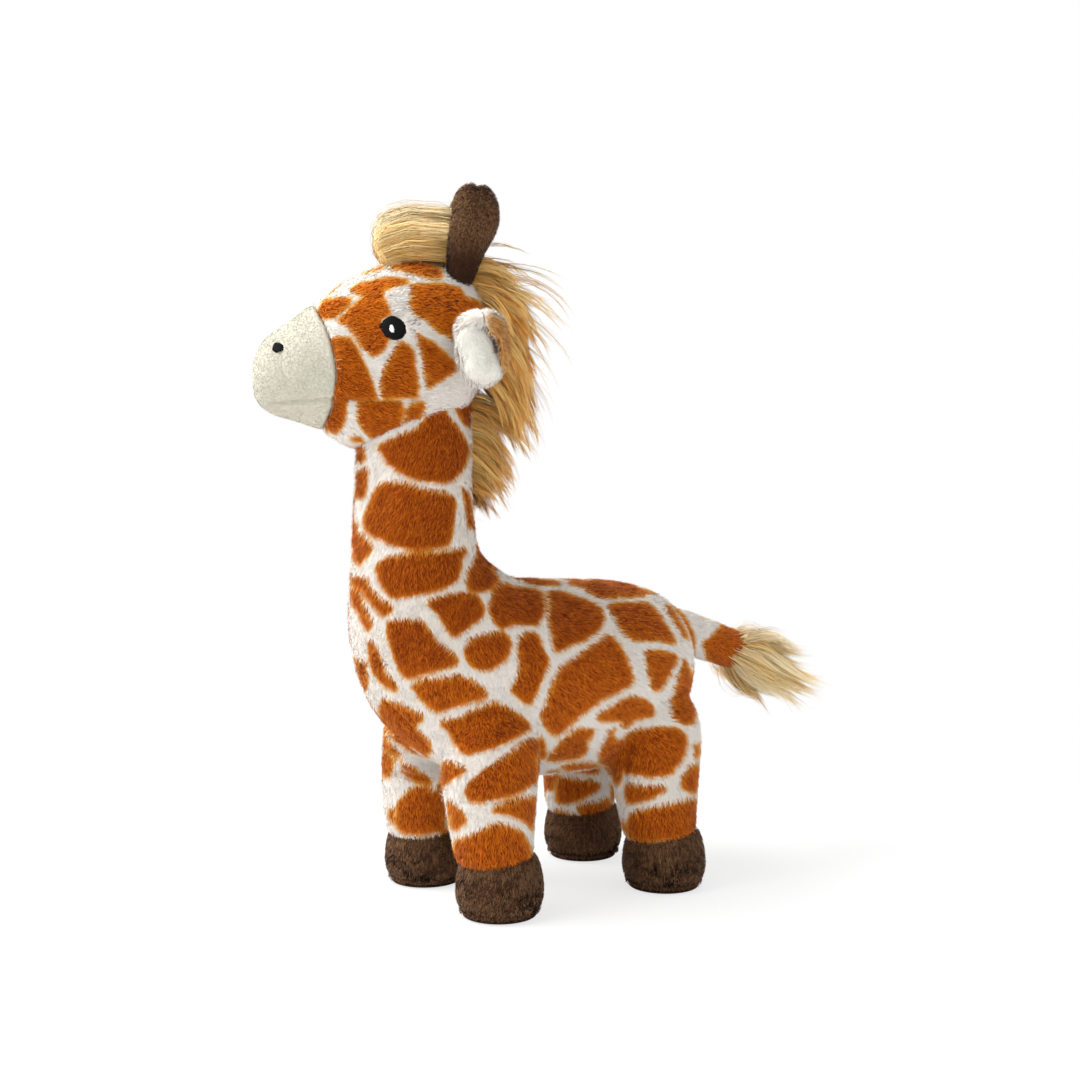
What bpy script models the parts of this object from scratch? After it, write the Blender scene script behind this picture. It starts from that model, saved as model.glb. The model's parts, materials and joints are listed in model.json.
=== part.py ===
# Plush giraffe: sewn plush covers, fibre filling, fleece hooves, horns and muzzle, long hair.
# It faces -Y, its left side is +X, and it stands on four flat soles at z = 0.
# The origin is the middle of its outline on the floor. Lengths are in metres.
import bpy
import bmesh
from math import cos, pi, radians, sin, tan
from mathutils import Vector

# Cloth and clearances
CLOTH = 0.0016            # thickness of plush or fleece with its backing
GAP = 0.0003              # between pieces that touch
FILL_GAP = 0.0005         # between a cover and the filling inside it
OVERRUN = 0.004           # how far a cutter reaches past what it cuts

# Torso
TORSO_LENGTH = 0.160      # chest to rump
TORSO_WIDTH = 0.082
TORSO_DEPTH = 0.083       # belly to back
BELLY_HEIGHT = 0.0505     # floor to belly

# Legs and hooves
HIP_TRACK = 0.054         # between the left and right hip joints
HOOF_TRACK = 0.064        # between the left and right hooves
WHEEL_BASE = 0.0835       # between the front and rear legs
HIP_RADIUS = 0.0205
ANKLE_RADIUS = 0.0163     # leg at the seam of the hoof
HOOF_RADIUS = 0.0182
HOOF_HEIGHT = 0.0240
SOLE_RADIUS = 0.0172
SOLE_THICKNESS = 0.0018
HIP_SWING = radians(12)   # each way, forward and back
HIP_BALL = radians(16)    # how far the hip's ball runs below the level of its joint

# Neck
NECK_RADIUS = 0.0247
NECK_LENGTH = 0.055       # from the bend at the shoulders to the seat of the head
NECK_LEAN = radians(8)    # each way, forward and back

# Head
HEAD_LENGTH = 0.0965      # nose to nape
HEAD_WIDTH = 0.064
HEAD_HEIGHT = 0.0755
HEAD_REACH = 0.0655       # nose ahead of the middle of the neck
HEAD_TURN = radians(-25)  # how the toy looks to its right in the photograph
MUZZLE_LENGTH = 0.0300    # nose to the seam of the muzzle
EYE_RADIUS = 0.0052
GLINT_RADIUS = 0.0012
NOSTRIL_RADIUS = 0.0025
THREAD = 0.0008           # how far embroidery stands out of the cloth

# Horns, ears
HORN_LENGTH = 0.0380      # bend at the root to the crown
HORN_RADIUS = 0.0104
HORN_WAIST = 0.0077
HORN_SPACING = 0.0245     # between the two roots
HORN_LEAN = radians(7)    # backwards
HORN_BEND = radians(20)   # outwards, from where it stands
EAR_LENGTH = 0.0330
EAR_RADIUS = 0.0115       # of the rolled leaf at its widest
EAR_THICKNESS = 0.0014    # each of its two layers
EAR_TAPER = radians(42)   # steepest slope of its leaf towards the tip
EAR_DROOP = radians(28)   # away from the head's side
EAR_YAW = radians(20)     # its edge behind turned out from the head
EAR_ROLL = radians(104)   # each way, from the middle of the leaf to its edge

# Tail and hair
TAIL_LENGTH = 0.0400      # bend at the root to the tuft
TAIL_RADIUS = 0.0090
TAIL_DROP = radians(19)   # below level
TAIL_SWING = radians(25)  # each way, up and down
TAIL_BALL = radians(12)   # how far the tail's ball runs past its joint
TUFT_LENGTH = 0.0650
TUFT_RADIUS = 0.0150
FORELOCK_LENGTH = 0.0300
FORELOCK_WIDTH = 0.0270
FORELOCK_HEIGHT = 0.0250
MANE_REACH = 0.0310       # how far the mane stands behind nape and neck
MANE_WIDTH = 0.0260

# How finely round pieces are faceted
LIMB_SIDES = 16
CORE_SIDES = 12
PATCH_SIDES = 12
CAGE_SIDES = 10
HAIR_SIDES = 8
SEAT_SIDES = 16
EAR_COLUMNS = 8
BALL_STEPS = 4
POLE = radians(86)        # the last ring of a ball, just short of its pole

# Places worked out from the sizes above
RUMP_Y = TORSO_LENGTH / 2
TORSO_SHARES = (
    # low edge (along, up), high edge (along, up), half width; along runs from rump to chest
    ((0.000, 0.47), (0.000, 0.66), 0.20),
    ((0.024, 0.25), (0.024, 0.87), 0.60),
    ((0.100, 0.08), (0.088, 0.97), 0.89),
    ((0.250, -0.01), (0.215, 1.01), 1.02),
    ((0.428, -0.01), (0.316, 1.01), 1.02),
    ((0.616, 0.01), (0.403, 1.01), 0.99),
    ((0.782, 0.10), (0.466, 1.01), 0.96),
    ((0.900, 0.29), (0.516, 1.01), 0.92),
    ((0.965, 0.51), (0.559, 1.02), 0.86),
    ((1.000, 0.74), (0.600, 1.06), 0.78),
)
NECK_ROOT_SHARES = (
    # radius, low edge and high edge of the rings under the neck's seat, of the neck's radius
    (1.13, -0.95, -0.35),
    (1.07, -0.20, 0.05),
    (1.04, 0.90, 0.90),
)
HIP_UP_SHARE = 0.14       # of the torso's depth, above the belly
HIP_FRONT_SHARE = 0.706   # of the torso's length, from the rump
NECK_ALONG_SHARE = 0.8375
NECK_SEAT_SHARE = 1.265   # of the torso's depth, above the belly
TAIL_UP_SHARE = 0.70
HIP_Z = BELLY_HEIGHT + HIP_UP_SHARE * TORSO_DEPTH
HIP_FRONT_Y = RUMP_Y - HIP_FRONT_SHARE * TORSO_LENGTH
HIP_REAR_Y = HIP_FRONT_Y + WHEEL_BASE
NECK_Y = RUMP_Y - NECK_ALONG_SHARE * TORSO_LENGTH
NECK_Z = BELLY_HEIGHT + NECK_SEAT_SHARE * TORSO_DEPTH
TAIL_Z = BELLY_HEIGHT + TAIL_UP_SHARE * TORSO_DEPTH

# The head's own frame has its origin on the neck's axis at the head's seat, looking along -Y
HEAD_BACK_Y = HEAD_LENGTH - HEAD_REACH
HEAD_SHARES = (
    # along from the nape, middle (up from the seat), half height, half width
    (0.000, 0.360, 0.10, 0.10),
    (0.028, 0.360, 0.46, 0.48),
    (0.120, 0.315, 0.79, 0.82),
    (0.290, 0.260, 0.99, 1.01),
    (0.450, 0.235, 1.02, 1.03),
    (0.590, 0.200, 0.91, 0.93),
    (0.720, 0.160, 0.72, 0.80),
    (0.850, 0.125, 0.58, 0.68),
    (0.955, 0.100, 0.41, 0.48),
    (1.000, 0.085, 0.15, 0.18),
)
EYE_ALONG_SHARE = 0.410
EYE_UP_SHARE = 0.365
NOSTRIL_ALONG_SHARE = 0.885
NOSTRIL_UP_SHARE = 0.245
HORN_ALONG_SHARE = 0.130
HORN_UP_SHARE = 0.690
GLINT_AHEAD_SHARE = 0.008
GLINT_DROP_SHARE = 0.004
SIDE_STEP_SHARE = 0.02    # of the head's length, to read the slope of its side
PATCH_ROOT_SHARE = 0.125  # of the head's width, how deep embroidery is rooted
EAR_ALONG_SHARE = 0.100
EAR_UP_SHARE = 0.440

# Outlines of the smaller pieces, as shares of their own sizes
LEG_SHARES = (
    # down from the hip's ball to the ankle, swell over a straight taper
    (0.30, 1.045),
    (0.65, 1.035),
    (1.00, 1.000),
)
HOOF_SHARES = (
    # up from the sole, way from the ankle's radius to the hoof's
    (1.00, 0.00),
    (0.66, 0.75),
    (0.33, 1.00),
)
SOLE_EDGE_SHARE = 1 / 3   # of the sole's thickness, its rounded edge
NECK_WAIST_SHARE = 0.985  # of the neck's radius, half way up
NECK_RIM_SHARE = 1.5      # of its lean, how far its seat's rim lies past level
STITCH_SHARES = ((0.00, 1.00), (0.60, 0.85), (1.00, 0.40))  # out from the middle, height
HORN_SHARES = (
    # of the horn's length and of the club's or the waist's radius
    (0.14, 0.95),         # below the club's widest
    (0.34, 1.06),         # the club's foot, below its widest
    (0.22, 0.98),         # the stem, above the joint
)
HORN_CUP_SHARE = 1.3      # of the waist's radius, the clearing round its seat
EAR_SHARES = ((0.00, 0.62), (0.16, 0.84), (0.36, 1.00), (0.58, 0.98), (0.80, 0.74), (0.94, 0.44))
TAIL_SHARES = ((0.50, 0.97), (1.00, 0.93))  # along from the joint, radius
TAIL_SINK_SHARE = 0.3     # of its radius, how far the joint lies behind the rump's end
TAIL_CUP_SHARE = 1.2      # of its radius, the clearing round its seat
TUFT_SHARES = ((0.00, 0.52), (0.10, 0.80), (0.32, 1.00), (0.58, 0.84), (0.84, 0.46), (1.00, 0.10))
TUFT_BEND_SHARE = 0.12    # of its length, how far its tip hangs below its own axis
TUFT_WIDE_SHARE = 0.85    # its width, of its height
FORELOCK_SHARES = (
    # forward from behind the horns, middle, height, width
    (0.00, 0.50, 0.50, 0.62),
    (0.22, 0.50, 0.88, 0.92),
    (0.52, 0.46, 1.00, 1.00),
    (0.80, 0.38, 0.84, 0.86),
    (1.00, 0.28, 0.40, 0.42),
)
FORELOCK_LIFT_SHARE = 0.2  # of the horn's waist, above its joint
MANE_TOP_SHARES = (
    # up, start ahead of the nape, reach behind it, width
    (0.00, 0.45, 0.86, 0.62),
    (0.10, 0.45, 0.93, 0.95),
    (0.36, 0.42, 0.94, 1.00),
    (0.64, 0.42, 0.84, 0.95),
    (0.86, 0.50, 0.56, 0.75),
    (1.00, 0.40, 0.10, 0.30),
)
MANE_LOW_SHARES = (
    # up, start ahead of the neck's back, reach behind it, width
    (0.00, 0.30, 0.30, 0.50),
    (0.18, 0.45, 0.58, 0.80),
    (0.44, 0.45, 0.80, 0.96),
    (0.72, 0.45, 0.92, 1.00),
    (1.00, 0.45, 0.94, 0.95),
)
MANE_TOP_HEIGHT_SHARE = 0.80   # of the head's height
MANE_TOP_SINK_SHARE = 0.06     # of its reach, into the nape
MANE_SPLIT_SHARE = 0.16        # of the neck's radius, below the head's seat
MANE_FOOT_SHARE = 0.30         # of the neck's radius, above the bend at the shoulders
MANE_ROOT_SHARE = 0.62         # of the neck's radius, the least depth that it is rooted from


def collection(name):
    group = bpy.data.collections.new(name)
    bpy.context.scene.collection.children.link(group)
    return group


def material(name, colour, roughness):
    finish = bpy.data.materials.new(name)
    finish.use_nodes = True
    shader = finish.node_tree.nodes["Principled BSDF"]
    shader.inputs["Base Color"].default_value = (*colour, 1)
    shader.inputs["Roughness"].default_value = roughness
    shader.inputs["Metallic"].default_value = 0
    finish.diffuse_color = (*colour, 1)
    return finish


def pivot(name, place, parent=None, turn=(0, 0, 0)):
    """An empty on a joint's axis; the pieces that move there are its children."""
    empty = bpy.data.objects.new(name, None)
    empty.empty_display_size = CLOTH
    empty.parent = parent
    empty.location = place
    empty.rotation_euler = turn
    TOY.objects.link(empty)
    return empty


def add_object(name, mesh, colour, roughness, parent=None, group=None):
    piece = bpy.data.objects.new(name, mesh)
    piece.parent = parent
    mesh.materials.append(material(name, colour, roughness))
    (group or TOY).objects.link(piece)
    mesh.shade_smooth()
    return piece


def as_cutter(piece):
    piece.hide_render = True
    piece.display_type = "WIRE"
    return piece


def finish_mesh(name, bm):
    bmesh.ops.recalc_face_normals(bm, faces=bm.faces)
    mesh = bpy.data.meshes.new(name)
    bm.to_mesh(mesh)
    bm.free()
    return mesh


def loft(name, rings, sides):
    """A closed skin through rings of (middle, half width vector, half height vector)."""
    bm = bmesh.new()
    loops = []
    for middle, across, up in rings:
        angles = [2 * pi * side / sides for side in range(sides)]
        loops.append([bm.verts.new(middle + across * cos(a) + up * sin(a)) for a in angles])
    for first, second in zip(loops, loops[1:]):
        for side in range(sides):
            after = (side + 1) % sides
            bm.faces.new((first[side], first[after], second[after], second[side]))
    bm.faces.new(loops[0])
    bm.faces.new(loops[-1])
    return finish_mesh(name, bm)


def add_turned(name, profile, colour, roughness, parent=None, group=None, sides=LIMB_SIDES):
    """A solid of revolution: the profile of (radius, height) runs down its outer side."""
    mesh = bpy.data.meshes.new(name)
    bm = bmesh.new()
    points = [bm.verts.new((radius, 0, height)) for radius, height in profile]
    for first, second in zip(points, points[1:]):
        bm.edges.new((first, second))
    if profile[0][0] > 0:
        bm.edges.new((points[-1], points[0]))
    bm.to_mesh(mesh)
    bm.free()
    piece = add_object(name, mesh, colour, roughness, parent, group)
    screw = piece.modifiers.new("turn", "SCREW")
    screw.steps = sides
    screw.render_steps = sides
    screw.use_merge_vertices = True
    screw.merge_threshold = GAP / 10
    screw.use_smooth_shade = True
    return piece


def smooth(piece, levels=1):
    modifier = piece.modifiers.new("smooth", "SUBSURF")
    modifier.levels = levels
    modifier.render_levels = levels
    return piece


def swell(piece, distance):
    """Moves the whole skin out along its normals, or in where the distance is negative."""
    modifier = piece.modifiers.new("swell", "DISPLACE")
    modifier.strength = distance
    modifier.mid_level = 0
    return piece


def shell(piece, thickness):
    modifier = piece.modifiers.new("cloth", "SOLIDIFY")
    modifier.thickness = thickness
    modifier.offset = -1
    modifier.use_even_offset = True
    return piece


def cut(piece, *cutters):
    for cutter in cutters:
        modifier = piece.modifiers.new(cutter.name, "BOOLEAN")
        modifier.operation = "DIFFERENCE"
        modifier.solver = "EXACT"
        modifier.object = cutter
    return piece


def cage_scale(sides):
    """What a cage ring is widened by, so that the smoothed skin has the ring's own size."""
    return 6 / (4 + 2 * cos(2 * pi / sides))


def box(name, low, high, parent=None):
    """A block between two corners, for a cutter."""
    bm = bmesh.new()
    bmesh.ops.create_cube(bm, size=1)
    size = Vector(high) - Vector(low)
    bmesh.ops.scale(bm, vec=size, verts=bm.verts)
    bmesh.ops.translate(bm, vec=Vector(low) + size / 2, verts=bm.verts)
    mesh = finish_mesh(name, bm)
    return as_cutter(add_object(name, mesh, GREY, 1, parent, GUIDES))


def ball_profile(radius, start, end, steps=BALL_STEPS):
    """Points of a ball about the origin, between two angles above level."""
    turns = [start + (end - start) * step / steps for step in range(steps + 1)]
    return [(max(radius * cos(turn), 0), radius * sin(turn)) for turn in turns]


def seat_cutter(name, radius, depth, swing, parent):
    """A round seat about a joint, open along -Z, with room for the limb to swing."""
    true_radius = (radius + GAP) / cos(pi / SEAT_SIDES) ** 2
    profile = ball_profile(true_radius, pi / 2, 0)
    profile[0] = (0, true_radius)
    wide = (radius + GAP) / cos(swing) / cos(pi / SEAT_SIDES) + depth * tan(swing)
    profile += [(wide, -depth), (0, -depth)]
    return as_cutter(add_turned(name, profile, GREY, 1, parent, GUIDES, SEAT_SIDES))


def cup_cutter(name, radius, rim, reach, depth, parent):
    """A shallow round seat about a joint, cleared above its rim, open along -Z.

    The rim is an angle behind the joint, so that the limb can tip by that angle.
    """
    true_radius = (radius + GAP) / cos(pi / SEAT_SIDES) ** 2
    profile = ball_profile(true_radius, pi / 2, rim)
    profile[0] = (0, true_radius)
    profile += [(reach, true_radius * sin(rim)), (reach, -depth), (0, -depth)]
    return as_cutter(add_turned(name, profile, GREY, 1, parent, GUIDES, SEAT_SIDES))


GREY = (0.5, 0.5, 0.5)
RUST = (0.46, 0.10, 0.007)
BROWN = (0.107, 0.058, 0.030)
DARK_BROWN = (0.045, 0.023, 0.013)
CREAM = (0.83, 0.80, 0.66)
GOLD = (0.61, 0.38, 0.115)
BLACK = (0.008, 0.008, 0.010)
WHITE = (0.85, 0.85, 0.85)


def torso_rings():
    scale = cage_scale(CAGE_SIDES)
    edges = []
    for (low_along, low_up), (high_along, high_up), wide_share in TORSO_SHARES:
        low = Vector((0, RUMP_Y - low_along * TORSO_LENGTH, BELLY_HEIGHT + low_up * TORSO_DEPTH))
        high = Vector((0, RUMP_Y - high_along * TORSO_LENGTH, BELLY_HEIGHT + high_up * TORSO_DEPTH))
        edges.append((low, high, wide_share * TORSO_WIDTH / 2))
    # The neck's root, on the neck's own radius: it flares towards the shoulders
    for flare, low_rise, high_rise in NECK_ROOT_SHARES:
        reach = NECK_RADIUS * flare
        low = Vector((0, NECK_Y - reach, NECK_Z + low_rise * NECK_RADIUS))
        high = Vector((0, NECK_Y + reach, NECK_Z + high_rise * NECK_RADIUS))
        edges.append((low, high, reach))
    rings = []
    for low, high, half_width in edges:
        middle = (low + high) / 2
        rings.append((middle, Vector((half_width * scale, 0, 0)), (high - middle) * scale))
    return rings


def make_torso(cutters):
    cover = add_object("torso_cover", loft("torso_cover", torso_rings(), CAGE_SIDES), RUST, 0.95)
    cut(shell(smooth(cover), CLOTH), *cutters)
    filling = add_object("torso_filling", loft("torso_filling", torso_rings(), CAGE_SIDES), WHITE, 1)
    cut(swell(smooth(filling), -CLOTH - FILL_GAP), *cutters)


def leg_rings(side, inset, bottom):
    """Level rings of a leg about its hip: a ball in the torso, then a taper out to the hoof."""
    rings = []
    top = HIP_RADIUS - inset
    for radius, height in ball_profile(top, POLE, -HIP_BALL):
        rings.append((0, radius, height))
    ankle = HOOF_HEIGHT - HIP_Z
    start = rings[-1][2]
    slant = side * (HOOF_TRACK - HIP_TRACK) / 2
    wide = top * cos(HIP_BALL)
    for down, swelling in LEG_SHARES:
        height = start + (ankle - start) * down
        straight = wide + (ANKLE_RADIUS - inset - wide) * down
        rings.append((slant * down, straight * swelling, height))
    rings[-1] = (slant, ANKLE_RADIUS - inset, ankle + GAP)
    if bottom < ankle:
        rings.append((slant, ANKLE_RADIUS - inset, bottom))
    return rings


def round_rings(rings):
    return [(Vector((x, 0, z)), Vector((r, 0, 0)), Vector((0, r, 0))) for x, r, z in rings]


def make_leg(name, side, y):
    """A leg's cover, filling, hoof and sole, carried by an empty at the hip."""
    hip = pivot(f"hip_{name}", (side * HIP_TRACK / 2, y, HIP_Z))
    ankle = HOOF_HEIGHT - HIP_Z
    rings = leg_rings(side, 0, ankle) + leg_rings(side, CLOTH, ankle)[::-1]
    mesh = loft(f"leg_cover_{name}", round_rings(rings), LIMB_SIDES)
    add_object(f"leg_cover_{name}", mesh, RUST, 0.95, hip)
    core = leg_rings(side, CLOTH + FILL_GAP, SOLE_THICKNESS + GAP - HIP_Z)
    mesh = loft(f"leg_filling_{name}", round_rings(core), CORE_SIDES)
    add_object(f"leg_filling_{name}", mesh, WHITE, 1, hip)

    # The hoof is upright under the leg's end
    foot = pivot(f"foot_{name}", (side * (HOOF_TRACK - HIP_TRACK) / 2, 0, -HIP_Z), hip)
    low = SOLE_THICKNESS + GAP
    tall = HOOF_HEIGHT - low
    bulge = HOOF_RADIUS - ANKLE_RADIUS
    wall = [(ANKLE_RADIUS + bulge * out, low + tall * up) for up, out in HOOF_SHARES]
    wall.append((SOLE_RADIUS, low))
    inside = [(radius - CLOTH, height) for radius, height in wall]
    add_turned(f"hoof_cover_{name}", wall + inside[::-1], BROWN, 0.95, foot)
    edge = SOLE_THICKNESS * SOLE_EDGE_SHARE
    sole = [
        (0, SOLE_THICKNESS),
        (SOLE_RADIUS - edge, SOLE_THICKNESS),
        (SOLE_RADIUS, SOLE_THICKNESS - edge),
        (SOLE_RADIUS, edge),
        (SOLE_RADIUS - edge, 0),
        (0, 0),
    ]
    add_turned(f"hoof_sole_{name}", sole, DARK_BROWN, 0.95, foot)
    depth = HIP_RADIUS + OVERRUN
    return seat_cutter(f"hip_seat_{name}", HIP_RADIUS, depth, HIP_SWING, hip)


def neck_rings(inset):
    """A ball in the shoulders, a straight neck, a dome under the head."""
    rings = []
    radius = NECK_RADIUS - inset
    for wide, height in ball_profile(radius, -POLE, 0):
        rings.append((0, wide, height))
    rings.append((0, radius * NECK_WAIST_SHARE, NECK_LENGTH / 2))
    for wide, height in ball_profile(radius, 0, POLE):
        rings.append((0, wide, NECK_LENGTH + height))
    return rings


def make_neck():
    root = pivot("neck_pivot", (0, NECK_Y, NECK_Z))
    outer = neck_rings(0)
    inner = neck_rings(CLOTH)
    # The cover's dome is left open at the top, where the filling runs on into the head
    opening = BALL_STEPS // 2
    rings = outer[:-opening] + inner[:-opening][::-1]
    add_object("neck_cover", loft("neck_cover", round_rings(rings), LIMB_SIDES), RUST, 0.95, root)
    core = neck_rings(CLOTH + FILL_GAP)
    add_object("neck_filling", loft("neck_filling", round_rings(core), CORE_SIDES), WHITE, 1, root)
    return root


def head_rings():
    scale = cage_scale(CAGE_SIDES)
    rings = []
    for along, middle_up, tall_share, wide_share in HEAD_SHARES:
        middle = Vector((0, HEAD_BACK_Y - along * HEAD_LENGTH, middle_up * HEAD_HEIGHT))
        across = Vector((wide_share * HEAD_WIDTH / 2 * scale, 0, 0))
        rings.append((middle, across, Vector((0, 0, tall_share * HEAD_HEIGHT / 2 * scale))))
    return rings


def head_form(name, colour, roughness, parent, group=None):
    return smooth(add_object(name, loft(name, head_rings(), CAGE_SIDES), colour, roughness, parent, group))


def make_head(neck):
    """The head's covers and filling. Its empty is turned as the toy holds its head."""
    head = pivot("head_pivot", (0, 0, NECK_LENGTH), neck, (0, 0, HEAD_TURN))
    seat = seat_cutter("head_seat", NECK_RADIUS, HEAD_HEIGHT, 0, head)
    reach = HEAD_LENGTH
    seam_y = HEAD_BACK_Y - HEAD_LENGTH + MUZZLE_LENGTH
    front = box("muzzle_side", (-reach, seam_y - reach, -reach), (reach, seam_y, reach), head)
    back = box("face_side", (-reach, seam_y - GAP, -reach), (reach, seam_y + reach, reach), head)
    cut(shell(head_form("head_cover", RUST, 0.95, head), CLOTH), front, seat)
    cut(shell(head_form("muzzle_cover", CREAM, 0.9, head), CLOTH), back)
    filling = head_form("head_filling", WHITE, 1, head)
    cut(swell(filling, -CLOTH - FILL_GAP), seat)
    guard = swell(head_form("head_guard", GREY, 1, head, GUIDES), GAP)
    return head, as_cutter(guard)


def head_place(along_share, up_share):
    """Where a vertical line through the head's side is met, as shares of length and height."""
    return HEAD_BACK_Y - along_share * HEAD_LENGTH, up_share * HEAD_HEIGHT


def head_side(along_share, up_share):
    """Half the head's width at a place of its side, and how far up its ring the place is."""
    for first, second in zip(HEAD_SHARES, HEAD_SHARES[1:]):
        if first[0] <= along_share <= second[0]:
            mix = (along_share - first[0]) / (second[0] - first[0])
            middle, tall, wide = (a + (b - a) * mix for a, b in zip(first[1:], second[1:]))
            rise = 2 * (up_share - middle) / tall
            return HEAD_WIDTH / 2 * wide * (1 - min(rise * rise, 1)) ** 0.5, rise
    return 0, 0


def make_patch(name, side, along_share, up_share, radius, colour, head, guard=None):
    """A round patch of embroidery on the head's side, rooted in the cloth that guard stands for.

    Without a guard it lies on top of another patch.
    """
    y, z = head_place(along_share, up_share)
    ahead, rise = head_side(along_share + SIDE_STEP_SHARE, up_share)
    behind, rise = head_side(along_share - SIDE_STEP_SHARE, up_share)
    half_width, rise = head_side(along_share, up_share)
    yaw = (behind - ahead) / (2 * SIDE_STEP_SHARE * HEAD_LENGTH)
    foot = -HEAD_WIDTH * PATCH_ROOT_SHARE if guard else THREAD + GAP
    lift = 0 if guard else foot
    profile = [(radius * out, lift + THREAD * up) for out, up in STITCH_SHARES]
    profile += [(radius, foot), (0, foot)]
    piece = add_turned(name, profile, colour, 0.6, head, sides=PATCH_SIDES)
    outward = Vector((1, -yaw, rise * HEAD_WIDTH / HEAD_HEIGHT / 2)).normalized()
    outward.x *= side
    piece.location = (side * half_width, y, z)
    piece.rotation_euler = outward.to_track_quat("Z", "Y").to_euler()
    if guard:
        cut(piece, guard)


def make_face(head, guard):
    for side, name in ((1, "left"), (-1, "right")):
        eye = (EYE_ALONG_SHARE, EYE_UP_SHARE)
        make_patch(f"eye_{name}", side, *eye, EYE_RADIUS, BLACK, head, guard)
        glint = (EYE_ALONG_SHARE + GLINT_AHEAD_SHARE, EYE_UP_SHARE - GLINT_DROP_SHARE)
        make_patch(f"eye_glint_{name}", side, *glint, GLINT_RADIUS, WHITE, head)
        nostril = (NOSTRIL_ALONG_SHARE, NOSTRIL_UP_SHARE)
        make_patch(f"nostril_{name}", side, *nostril, NOSTRIL_RADIUS, BLACK, head, guard)


def horn_profile(inset):
    """A horn about its bend: a ball in the head, a waist, then a round club."""
    waist = HORN_WAIST - inset
    club = HORN_RADIUS - inset
    crown = HORN_LENGTH - HORN_RADIUS
    profile = [(radius, crown + height) for radius, height in ball_profile(club, pi / 2, 0, 3)]
    profile[0] = (0, crown + club)
    shoulder, throat, stem = HORN_SHARES
    profile.append((club * shoulder[1], crown - HORN_LENGTH * shoulder[0]))
    profile.append((waist * throat[1], crown - HORN_LENGTH * throat[0]))
    profile.append((waist * stem[1], HORN_LENGTH * stem[0]))
    profile += ball_profile(waist, 0, -pi / 2, 3)
    profile[-1] = (0, -waist)
    return profile


def make_horn(name, side, head):
    y, z = head_place(HORN_ALONG_SHARE, HORN_UP_SHARE)
    place = (side * HORN_SPACING / 2, y, z)
    root = pivot(f"horn_pivot_{name}", place, head, (-HORN_LEAN, 0, 0))
    outer = horn_profile(0)
    # The cover is open at its foot, where the filling reaches the head
    inner = horn_profile(CLOTH)
    profile = outer[:-2] + inner[:-2][::-1]
    add_turned(f"horn_cover_{name}", profile, BROWN, 0.95, root, sides=CORE_SIDES)
    core = horn_profile(CLOTH + FILL_GAP)
    add_turned(f"horn_filling_{name}", core, WHITE, 1, root, sides=CORE_SIDES)
    reach = HORN_WAIST * HORN_CUP_SHARE
    seat = cup_cutter(f"horn_seat_{name}", HORN_WAIST, HORN_BEND, reach, HORN_LENGTH, root)
    seat.rotation_euler = (pi, 0, 0)
    return seat


def ear_sheet(name, inset, colour, parent, side):
    """One layer of a leaf that is rolled along its length, hanging from its root."""
    bm = bmesh.new()
    rows = []
    for along_share, radius_share in EAR_SHARES:
        radius = EAR_RADIUS * radius_share - inset
        height = -EAR_LENGTH * along_share
        row = []
        for column in range(EAR_COLUMNS + 1):
            roll = EAR_ROLL * (2 * column / EAR_COLUMNS - 1)
            out = inset + radius * (1 - cos(roll))
            row.append(bm.verts.new((side * out, radius * sin(roll), height)))
        rows.append(row)
    for first, second in zip(rows, rows[1:]):
        for column in range(EAR_COLUMNS):
            corners = [first[column], first[column + 1], second[column + 1], second[column]]
            bm.faces.new(corners if side > 0 else corners[::-1])
    mesh = bpy.data.meshes.new(name)
    bm.normal_update()
    bm.to_mesh(mesh)
    bm.free()
    return shell(add_object(name, mesh, colour, 0.95, parent), EAR_THICKNESS)


def make_ear(name, side, head):
    y, z = head_place(EAR_ALONG_SHARE, EAR_UP_SHARE)
    half_width, rise = head_side(EAR_ALONG_SHARE, EAR_UP_SHARE)
    root = pivot(f"ear_pivot_{name}", (side * (half_width + GAP), y, z), head)
    root.rotation_euler = (0, -side * EAR_DROOP, side * EAR_YAW)
    ear_sheet(f"ear_outer_{name}", 0, RUST, root, side)
    inset = (EAR_THICKNESS + GAP) / cos(EAR_TAPER)
    ear_sheet(f"ear_lining_{name}", inset, CREAM, root, side)


def tail_profile(inset):
    """From the ball in the rump down the tail's outer side."""
    points = ball_profile(TAIL_RADIUS - inset, pi / 2, -TAIL_BALL)
    points[0] = (0, TAIL_RADIUS - inset)
    points += [(TAIL_RADIUS * wide - inset, -TAIL_LENGTH * along) for along, wide in TAIL_SHARES]
    return points


def make_tail():
    root = pivot("tail_pivot", (0, RUMP_Y + TAIL_RADIUS * TAIL_SINK_SHARE, TAIL_Z))
    root.rotation_euler = (pi / 2 - TAIL_DROP, 0, 0)
    cover = tail_profile(0) + tail_profile(CLOTH)[::-1]
    add_turned("tail_cover", cover, RUST, 0.95, root)
    core = tail_profile(CLOTH + FILL_GAP) + [(0, -TAIL_LENGTH)]
    add_turned("tail_filling", core, WHITE, 1, root, sides=CORE_SIDES)

    # The tuft fans out of the tail's end and thins to a tip
    end = -TAIL_LENGTH - GAP
    scale = cage_scale(HAIR_SIDES)
    rings = []
    for along, wide in TUFT_SHARES:
        radius = TUFT_RADIUS * wide * scale
        bend = TUFT_LENGTH * TUFT_BEND_SHARE * along * along
        middle = Vector((0, -bend, end - TUFT_LENGTH * along))
        rings.append((middle, Vector((radius * TUFT_WIDE_SHARE, 0, 0)), Vector((0, radius, 0))))
    tuft = add_object("tail_tuft", loft("tail_tuft", rings, HAIR_SIDES), GOLD, 0.7, root)
    reach = TUFT_LENGTH
    cut(smooth(tuft), box("tail_end", (-reach, -reach, end), (reach, reach, 0), root))
    reach = TAIL_RADIUS * TAIL_CUP_SHARE
    return cup_cutter("tail_seat", TAIL_RADIUS, TAIL_SWING, reach, TAIL_LENGTH, root)


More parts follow.
